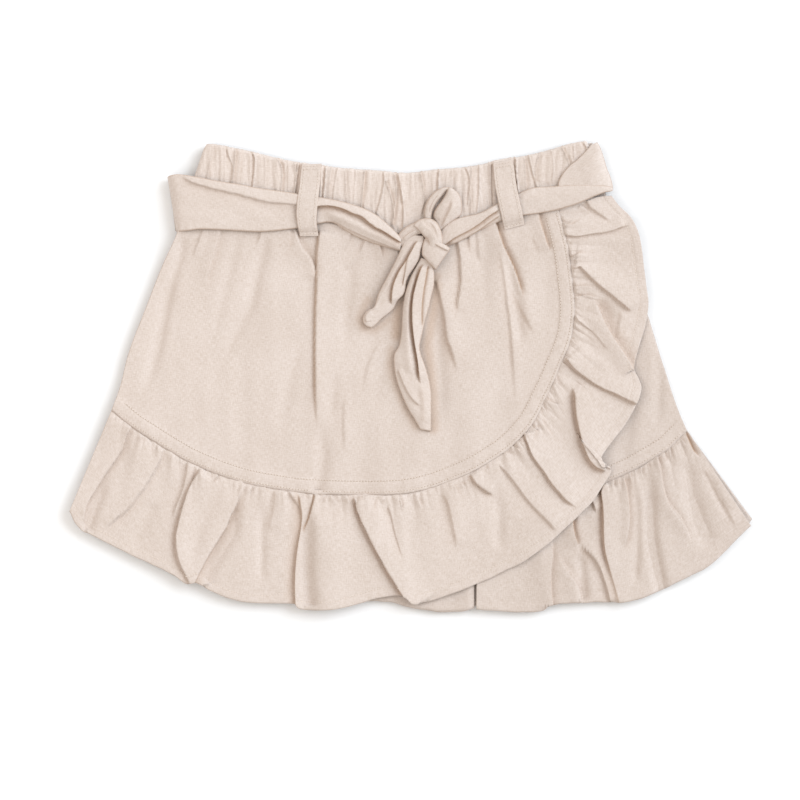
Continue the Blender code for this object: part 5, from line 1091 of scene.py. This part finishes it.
knotBehind = {
    "node": "belt_knot", "lengthwise": 70, "crosswise": 40, "edge": 1.5, "seed": 141, "cut": (0.017, 0.011),
    "sections": [
        ((-8.1, 82.2), (-4.5, 76.2), -0.6, -0.6, 0.4), ((-6.0, 85.2), (-1.5, 78.9), 0.4, 0.2, 1.2),
        ((-2.7, 88.2), (1.5, 81.9), 1.0, 0.8, 1.6), ((1.5, 90.6), (4.5, 83.4), 1.2, 1.0, 1.8),
        ((6.3, 92.4), (8.7, 84.6), 1.0, 1.0, 1.6)],
    "folds": [(1, 0.9, 2.4, 0.6, 0.6, 1.5, 0.2, 0.2, 0.2, [(-4.5, 80.4), (-0.3, 84.0), (4.5, 86.4)])]}

knotWrap = {
    "lengthwise": 100, "crosswise": 48, "edge": 1.8, "seed": 151, "cut": (0.026, 0.014), "rollStart": True,
    "sections": [
        ((1.2, 89.7), (3.6, 86.4), 1.6, 1.6, 0.6), ((3.9, 91.9), (6.6, 85.2), 2.2, 2.2, 1.4),
        ((7.2, 93.4), (8.4, 83.4), 2.6, 2.6, 2.2), ((12.0, 93.7), (9.6, 81.8), 2.8, 2.8, 2.4),
        ((16.2, 91.4), (10.5, 81.0), 2.8, 2.8, 2.4), ((18.7, 87.0), (10.9, 79.8), 2.6, 2.8, 2.4),
        ((19.9, 82.2), (11.1, 78.0), 2.0, 2.6, 2.2), ((20.5, 76.8), (11.1, 75.0), 1.0, 2.0, 1.6)],
    "folds": [
        (-1, 1.0, 3, 0.5, 0.8, 2, 0.4, 0.1, 0.2, [(2.1, 90.2), (5.4, 87.6), (8.4, 83.4), (9.3, 81.0)]),
        (1, 0.8, 4, 0.6, 0.5, 2.5, 0.2, 0.2, 0.2, [(5.7, 92.4), (8.7, 89.4), (12.9, 85.8), (15.9, 80.4)]),
        (-1, 0.5, 3, 0.8, 0.4, 2, 0.0, 0.3, 0.3, [(11.7, 92.4), (15.3, 88.2), (17.7, 82.2)])]}

knotBand = {
    "lengthwise": 70, "crosswise": 46, "edge": 1.2, "seed": 161, "cut": (0.023, 0.013), "rollEnd": True,
    "sections": [
        ((9.2, 81.9), (18.9, 79.2), 1.6, 2.6, 0.6), ((8.1, 79.2), (22.5, 77.3), 1.8, 2.6, 1.2),
        ((7.4, 75.6), (24.2, 75.4), 1.6, 2.2, 1.8), ((7.5, 71.7), (22.1, 72.1), 1.2, 1.8, 1.8),
        ((10.1, 68.4), (19.6, 68.6), 0.8, 1.2, 1.4), ((12.9, 65.5), (17.7, 65.8), 0.4, 0.8, 0.8),
        ((15.2, 63.1), (15.9, 63.1), 0.0, 0.2, 0.0)],
    "folds": [
        (1, 0.9, 4, 0.5, 0.6, 2.0, 0.3, 0.1, 0.1, [(24.0, 74.2), (18.3, 77.0), (13.5, 79.8), (9.3, 82.2)]),
        (1, 0.5, 4, 0.6, 0.3, 1.5, 0.0, 0.2, 0.2, [(15.3, 64.8), (10.8, 68.4), (8.3, 72.6)])]}

bowLeft = {
    "node": "belt_bow", "lengthwise": 90, "crosswise": 40, "edge": 1.4, "seed": 171, "cut": (0.023, 0.01),
    "rollEnd": True,
    "sections": [
        ((8.6, 92.4), (13.1, 91.2), -0.6, -0.6, 0.8), ((8.5, 96.6), (13.3, 95.4), 0.0, 0.0, 1.0),
        ((9.2, 100.8), (14.2, 99.2), 0.4, 0.2, 1.2), ((11.0, 104.9), (16.3, 102.8), 0.8, 0.2, 1.4),
        ((14.5, 109.1), (19.3, 106.6), 1.2, 0.4, 1.4), ((18.7, 111.7), (22.0, 109.8), 1.6, 1.0, 1.2),
        ((22.9, 112.6), (23.7, 111.0), 2.0, 2.2, 0.6)],
    "folds": [
        (1, 0.7, 2.4, 0.8, 0.4, 1.6, 0.1, 0.2, 0.2,
         [(12.3, 96.0), (13.3, 100.2), (15.3, 104.4), (18.9, 108.4)])]}

bowRight = {
    "node": "belt_bow", "lengthwise": 90, "crosswise": 46, "edge": 1.4, "seed": 181, "cut": (0.03, 0.015),
    "rollEnd": True,
    "sections": [
        ((15.9, 90.6), (19.2, 86.4), -0.4, -0.4, 0.8), ((14.3, 94.8), (24.3, 90.7), 0.2, -0.6, 1.6),
        ((15.1, 98.5), (30.4, 95.2), 0.8, -0.8, 2.4), ((17.5, 102.1), (31.6, 100.2), 1.2, -0.6, 2.8),
        ((19.9, 105.4), (31.1, 105.0), 1.6, 0.0, 2.4), ((21.8, 108.7), (29.0, 109.0), 2.0, 1.0, 1.8),
        ((22.6, 111.1), (25.9, 111.6), 2.2, 1.8, 0.8), ((23.0, 112.3), (24.1, 112.4), 2.2, 2.0, 0.2)],
    "folds": [
        (1, 0.9, 4, 0.8, 0.6, 3, 0.0, 0.2, 0.3, [(18.9, 87.6), (21.9, 93.6), (24.9, 100.2), (26.1, 106.2)]),
        (-1, 0.6, 3, 0.8, 0.4, 2, 0.0, 0.2, 0.3, [(17.1, 91.8), (20.7, 97.8), (23.7, 103.2)])]}

tailLeft = {
    "lengthwise": 150, "crosswise": 50, "edge": 1.0, "seed": 191, "cut": (0.066, 0.018), "rollEnd": True,
    "sections": [
        ((0.3, 83.7), (8.7, 83.1), 1.0, 1.0, 0.6), ((-2.5, 81.0), (8.5, 79.5), 0.8, 0.8, 1.2),
        ((-5.4, 75.0), (6.9, 75.0), 0.2, 0.2, 1.8), ((-8.4, 68.4), (5.4, 68.7), -0.6, -0.6, 2.2),
        ((-13.5, 58.5), (-1.1, 57.9), -1.4, -1.4, 2.2), ((-18.6, 48.7), (-3.1, 49.2), -1.8, -1.8, 2.2),
        ((-21.1, 41.1), (-7.1, 44.4), -2.2, -2.2, 2.0), ((-24.7, 38.8), (-10.1, 39.0), -2.4, -2.4, 1.8),
        ((-27.7, 35.4), (-16.5, 33.8), -2.4, -2.4, 1.4), ((-27.7, 31.6), (-20.9, 29.4), -2.4, -2.4, 0.8),
        ((-25.5, 28.8), (-23.1, 28.1), -2.6, -2.6, 0.2)],
    "folds": [
        (1, 1.7, 4.5, 0.3, 1.6, 1.9, 0.5, 0.1, 0.1,
         [(-10.5, 41.4), (-9.5, 52.2), (-6.0, 61.2), (-1.3, 68.4), (2.5, 75.0), (5.5, 81.0)]),
        (-1, 1.0, 3, 1.2, 0.0, 1, 0.0, 0.1, 0.2, [(-22.5, 37.8), (-15.3, 50.4), (-7.5, 64.8), (-0.9, 77.4)]),
        (1, 0.7, 3, 0.5, 0.5, 1.5, 0.2, 0.1, 0.1, [(-25.5, 31.4), (-26.0, 35.4), (-23.1, 38.0)]),
        (1, 1.1, 3, 0.35, 1.0, 1.5, 0.2, 0.1, 0.2, [(-3.9, 52.2), (-2.1, 61.8), (0.7, 72.6), (5.7, 81.6)])]}

tailRight = {
    "lengthwise": 225, "crosswise": 54, "edge": 1.0, "seed": 201, "cut": (0.108, 0.022), "rollEnd": True,
    "sections": [
        ((6.7, 70.2), (13.5, 67.8), -1.2, -0.6, 0.4), ((4.5, 66.0), (14.5, 63.8), -1.6, -1.4, 1.0),
        ((1.6, 60.8), (14.8, 58.8), -2.0, -2.0, 1.6), ((-0.7, 55.2), (14.5, 52.8), -2.2, -2.2, 2.0),
        ((-2.7, 48.6), (13.1, 46.8), -2.4, -2.4, 2.2), ((-4.0, 41.4), (11.6, 40.2), -2.4, -2.4, 2.2),
        ((-4.6, 33.0), (9.4, 32.6), -2.4, -2.4, 2.2), ((-4.9, 25.8), (7.9, 25.8), -2.4, -2.4, 2.0),
        ((-6.4, 17.6), (6.4, 17.6), -2.4, -2.4, 2.0), ((-9.2, 12.4), (7.3, 12.1), -2.4, -2.4, 2.0),
        ((-9.3, 5.4), (9.5, 5.4), -2.4, -2.4, 2.0), ((-8.0, -2.4), (11.6, -2.4), -2.4, -2.4, 2.0),
        ((-5.2, -10.8), (12.9, -10.4), -2.4, -2.4, 1.8), ((-1.4, -19.4), (13.0, -19.2), -2.4, -2.4, 1.4),
        ((2.7, -26.2), (13.0, -26.4), -2.5, -2.5, 1.0), ((6.5, -32.8), (12.9, -33.8), -2.6, -2.6, 0.4)],
    "folds": [
        (1, 2.2, 5.0, 0.3, 2.4, 1.9, 0.6, 0.12, 0.05,
         [(6.7, -6.6), (5.5, 7.8), (3.3, 21.0), (2.1, 33.0), (2.5, 45.0), (4.5, 54.6), (8.5, 66.6)]),
        (-1, 1.6, 3.5, 1.2, 0.0, 1, 0.0, 0.1, 0.1,
         [(1.5, -0.6), (-0.1, 13.8), (-1.1, 27.0), (-0.9, 40.2), (0.7, 51.0), (4.3, 61.8)]),
        (-1, 1.4, 3, 0.3, 1.4, 1.5, 0.3, 0.15, 0.05,
         [(7.3, 27.0), (6.9, 34.2), (7.1, 42.6), (8.1, 51.0), (9.5, 58.8), (10.7, 66.0)]),
        (1, 0.7, 3, 0.4, 0.5, 2, 0.2, 0.1, 0.1, [(6.9, -18.6), (2.6, -15.0), (-2.9, -6.2), (-6.9, 4.2)]),
        (1, 0.9, 6, 2.5, 0.4, 3, 0.0, 0.2, 0.2, [(8.7, -30.6), (8.7, -17.4), (7.5, -5.4)])]}

loopLeft = {
    "lengthwise": 120, "crosswise": 28, "wall": 0.8, "edge": 0.6, "seed": 211, "cut": (0.046, 0.0125),
    "held": "laid",
    "sections": [
        ((-52.6, 126.4), (-64.7, 126.0), -1.4, -1.4, 0.0), ((-53.0, 121.8), (-65.2, 121.4), -1.0, -1.0, 0.1),
        ((-53.3, 115.8), (-65.8, 115.2), -0.6, -0.6, 0.1), ((-53.9, 111.0), (-66.4, 110.2), 0.4, 0.4, 0.2),
        ((-54.4, 106.4), (-67.1, 105.8), 1.9, 1.9, 0.2), ((-55.1, 99.6), (-67.7, 99.1), 2.2, 2.2, 0.2),
        ((-55.6, 93.6), (-67.6, 93.0), 1.8, 1.8, 0.2), ((-55.3, 88.8), (-66.8, 88.4), 0.6, 0.6, 0.2),
        ((-54.8, 85.8), (-66.1, 85.4), -1.2, -1.2, 0.1), ((-54.4, 83.2), (-65.8, 83.0), -2.2, -2.2, 0.0)],
    "folds": [(-1, 0.35, 5, 0.4, 0.0, 1, 0.0, 0.0, 0.0, [(-66.9, 86.0), (-53.7, 86.3)])]}

loopRight = {
    "lengthwise": 120, "crosswise": 28, "wall": 0.8, "edge": 0.6, "seed": 221, "cut": (0.045, 0.0125),
    "held": "laid",
    "sections": [
        ((61.7, 129.1), (49.7, 126.7), -1.4, -1.4, 0.0), ((62.6, 124.2), (50.1, 121.8), -1.0, -1.0, 0.1),
        ((63.3, 118.2), (50.7, 115.8), -0.6, -0.6, 0.1), ((64.1, 112.8), (51.5, 110.4), 0.4, 0.4, 0.2),
        ((65.1, 108.0), (52.5, 105.6), 1.7, 1.7, 0.2), ((66.3, 102.6), (53.7, 99.8), 2.0, 2.0, 0.2),
        ((67.4, 97.8), (54.9, 94.8), 1.5, 1.5, 0.2), ((68.0, 94.4), (55.6, 91.4), 0.2, 0.2, 0.2),
        ((68.5, 92.4), (56.1, 89.2), -1.4, -1.4, 0.1), ((68.9, 90.0), (56.6, 86.8), -2.2, -2.2, 0.0)],
    "folds": [(-1, 0.35, 5, 0.4, 0.0, 1, 0.0, 0.0, 0.0, [(54.3, 88.6), (69.9, 92.4)])]}

# The back's loops lie flat behind the waist: their ends, and their heights by part of the length
backLoop = {
    "lengthwise": 60, "crosswise": 12, "wall": 0.7, "edge": 0.3, "seed": 231, "cut": (0.046, 0.0125),
    "held": "laid", "folds": [], "width": 11.5,
    "left": ((-63.3, 124.2), (-63.3, 79.2)), "right": ((52.5, 127.8), (60.9, 82.8)),
    "heights": ((0, -8.2), (0.06, -8.6), (0.12, -9.8), (0.5, -9.8), (0.9, -9.8), (0.97, -8.8), (1, -8.4))}


def makeBand(name, band):
    # A strip through its sections, crowned across. Both long edges roll down by edge, and so does an
    # end where the strip is folded there. bend above 1 keeps the fall for the strip's lower edge.
    band = {**beltCommon, **band}
    sections = points(band["sections"], "upper lower zUpper zLower crown")
    s = np.linspace(0, len(band["sections"]) - 1, band["lengthwise"] + 1)
    w = 0.5 - 0.5 * np.cos(np.pi * np.linspace(0, 1, band["crosswise"] + 1))
    s, w = np.meshgrid(s, w)
    upper, lower, zUpper, zLower, crown = [alongTable(sections, part, s) for part in sections]
    place = upper + (lower - upper) * w[..., None]
    x = place[..., 0]
    y = place[..., 1]
    width = np.hypot(*np.moveaxis(lower - upper, -1, 0))
    steps = np.hypot(*np.moveaxis(np.diff((upper + lower) / 2, axis=1), -1, 0))
    along = np.concatenate([np.zeros((len(s), 1)), np.cumsum(steps, axis=1)], axis=1)
    across = w * width
    height, leanX, leanY, creaseShade = folds(band["folds"], x, y)
    # small creases and longer ones, both run lengthwise
    fine = 0.16 * waves(along / 6.0, across / 4.0, band["seed"])
    fine = fine + 0.25 * waves(along / 18.0, across / 7.0, band["seed"] + 1)
    fall = (zLower - zUpper) * w ** band.get("bend", 1.0)
    z = layer["belt"] + zUpper + fall + crown * 4 * w * (1 - w) + height + fine
    edge = band["edge"]
    rolled = [np.minimum(w, 1 - w) * width]
    if "rollStart" in band:
        rolled.append(along)
    if "rollEnd" in band:
        rolled.append(along[:, -1:] - along)
    for fromEdge in rolled:
        z = z - rolledDown(fromEdge, edge)
        # painted shade: the colour darkens along each rolled edge, where the strip meets what lies below
        creaseShade = np.maximum(creaseShade, 0.6 * ease(1 - fromEdge / (0.8 * edge)))
    x = x + leanX
    y = y + leanY
    piece = clothPiece(name, x, y, z, band["wall"], litBeltLinen, along, across, creaseShade)
    sewnIn(piece, [band.get("node", name)])
    return np.stack([x, y, z], axis=-1)


def makeBackLoop(name, side):
    # a flat strip of one width between its two ends
    top, bottom = np.array(backLoop[side])
    run = bottom - top
    half = np.array([run[1], -run[0]]) / np.hypot(*run) * backLoop["width"] / 2
    sections = [(top + run * part - half, top + run * part + half, z, z, 0.0)
                for part, z in backLoop["heights"]]
    makeBand(name, {**backLoop, "sections": sections})


def loopStitches(loop):
    # two lines along a belt loop, without its ends, and three across it
    rows, columns = loop.shape[:2]
    along = [loop[int(round(part * (rows - 1))), int(0.03 * columns):int(0.97 * columns)]
             for part in (0.26, 0.74)]
    return along + [loop[2:-2, int(round(part * (columns - 1)))] for part in (0.035, 0.075, 0.945)]


def makeWaist():
    # casing, belt round it, loops over the belt, and the half bow
    makeWaistband("back")
    makeWaistband("front")
    makeBand("belt_back", beltBack)
    for side in ("left", "right"):
        makeBackLoop(f"belt_loop_back_{side}", side)
    makeBand("belt_left", beltLeft)
    makeBand("belt_right_fold", beltRightFold)
    makeBand("belt_right", beltRight)
    rows = loopStitches(makeBand("belt_loop_front_left", loopLeft))
    rows += loopStitches(makeBand("belt_loop_front_right", loopRight))
    makeBand("belt_tail_right", tailRight)
    makeBand("belt_tail_left", tailLeft)
    makeBand("belt_bow_left", bowLeft)
    makeBand("belt_bow_right", bowRight)
    makeBand("belt_knot_behind", knotBehind)
    makeBand("belt_band", knotBand)
    makeBand("belt_knot", knotWrap)
    stitchRows("loop_stitches", rows)


# The studio, in metres: floor, lamps by place, size, watts and colour, and the camera
studio = {
    "floorReach": 6.0, "floorZ": -0.0004, "paper": (0.89, 0.91, 0.94, 1), "air": (1.02, 0.943, 0.856, 1),
    "airStrength": 0.80, "lens": 250, "sensor": 36, "cameraX": -5.7 * mm, "cameraY": -15 * mm,
    "viewWidth": 480 * mm,
    "lamps": {"key": ((7.24, 3.69, 5.7), 7.6, 850.0, (0.83, 0.92, 1.0)),
              "fill": ((-0.62, 0.1, 0.75), 0.7, 1.9, (1.0, 0.98, 0.96))}}


def makeStage():
    # a white floor, a big soft lamp up right, a fill, and the camera straight above
    reach = studio["floorReach"]
    floor = bpy.data.meshes.new("floor")
    corners = [(x * reach, y * reach, studio["floorZ"]) for x, y in ((-1, -1), (1, -1), (1, 1), (-1, 1))]
    floor.from_pydata(corners, [], [(0, 1, 2, 3)])
    paper = bpy.data.materials.new("white paper")
    paper.use_nodes = True
    setInputs(paper.node_tree.nodes["Principled BSDF"], {"Base Color": studio["paper"], "Roughness": 0.9})
    floor.materials.append(paper)
    ground = bpy.data.objects.new("floor", floor)
    scene = bpy.context.scene
    scene.collection.objects.link(ground)
    for name, (place, size, watts, colour) in studio["lamps"].items():
        lamp = bpy.data.lights.new(name, "AREA")
        lamp.size = size
        lamp.energy = watts
        lamp.color = colour
        light = bpy.data.objects.new(name, lamp)
        light.location = place
        aim = np.array(place) / np.linalg.norm(place)
        light.rotation_euler = (np.arccos(aim[2]), 0, np.arctan2(aim[1], aim[0]) + np.pi / 2)
        scene.collection.objects.link(light)
    world = bpy.data.worlds.new("studio")
    world.use_nodes = True
    air = world.node_tree.nodes["Background"]
    setInputs(air, {"Color": studio["air"], "Strength": studio["airStrength"]})
    scene.world = world
    scene.view_settings.view_transform = "Standard"
    lens = bpy.data.cameras.new("camera")
    lens.lens = studio["lens"]
    lens.sensor_width = studio["sensor"]
    lens.clip_end = 20
    camera = bpy.data.objects.new("camera", lens)
    height = studio["viewWidth"] * studio["lens"] / studio["sensor"]
    camera.location = (studio["cameraX"], studio["cameraY"], height)
    scene.collection.objects.link(camera)
    scene.camera = camera


makeShorts()
print("shorts done")
makeWrap()
print("wrap done")
makeWaist()
print("waist done")
makeStage()
print("stage done")
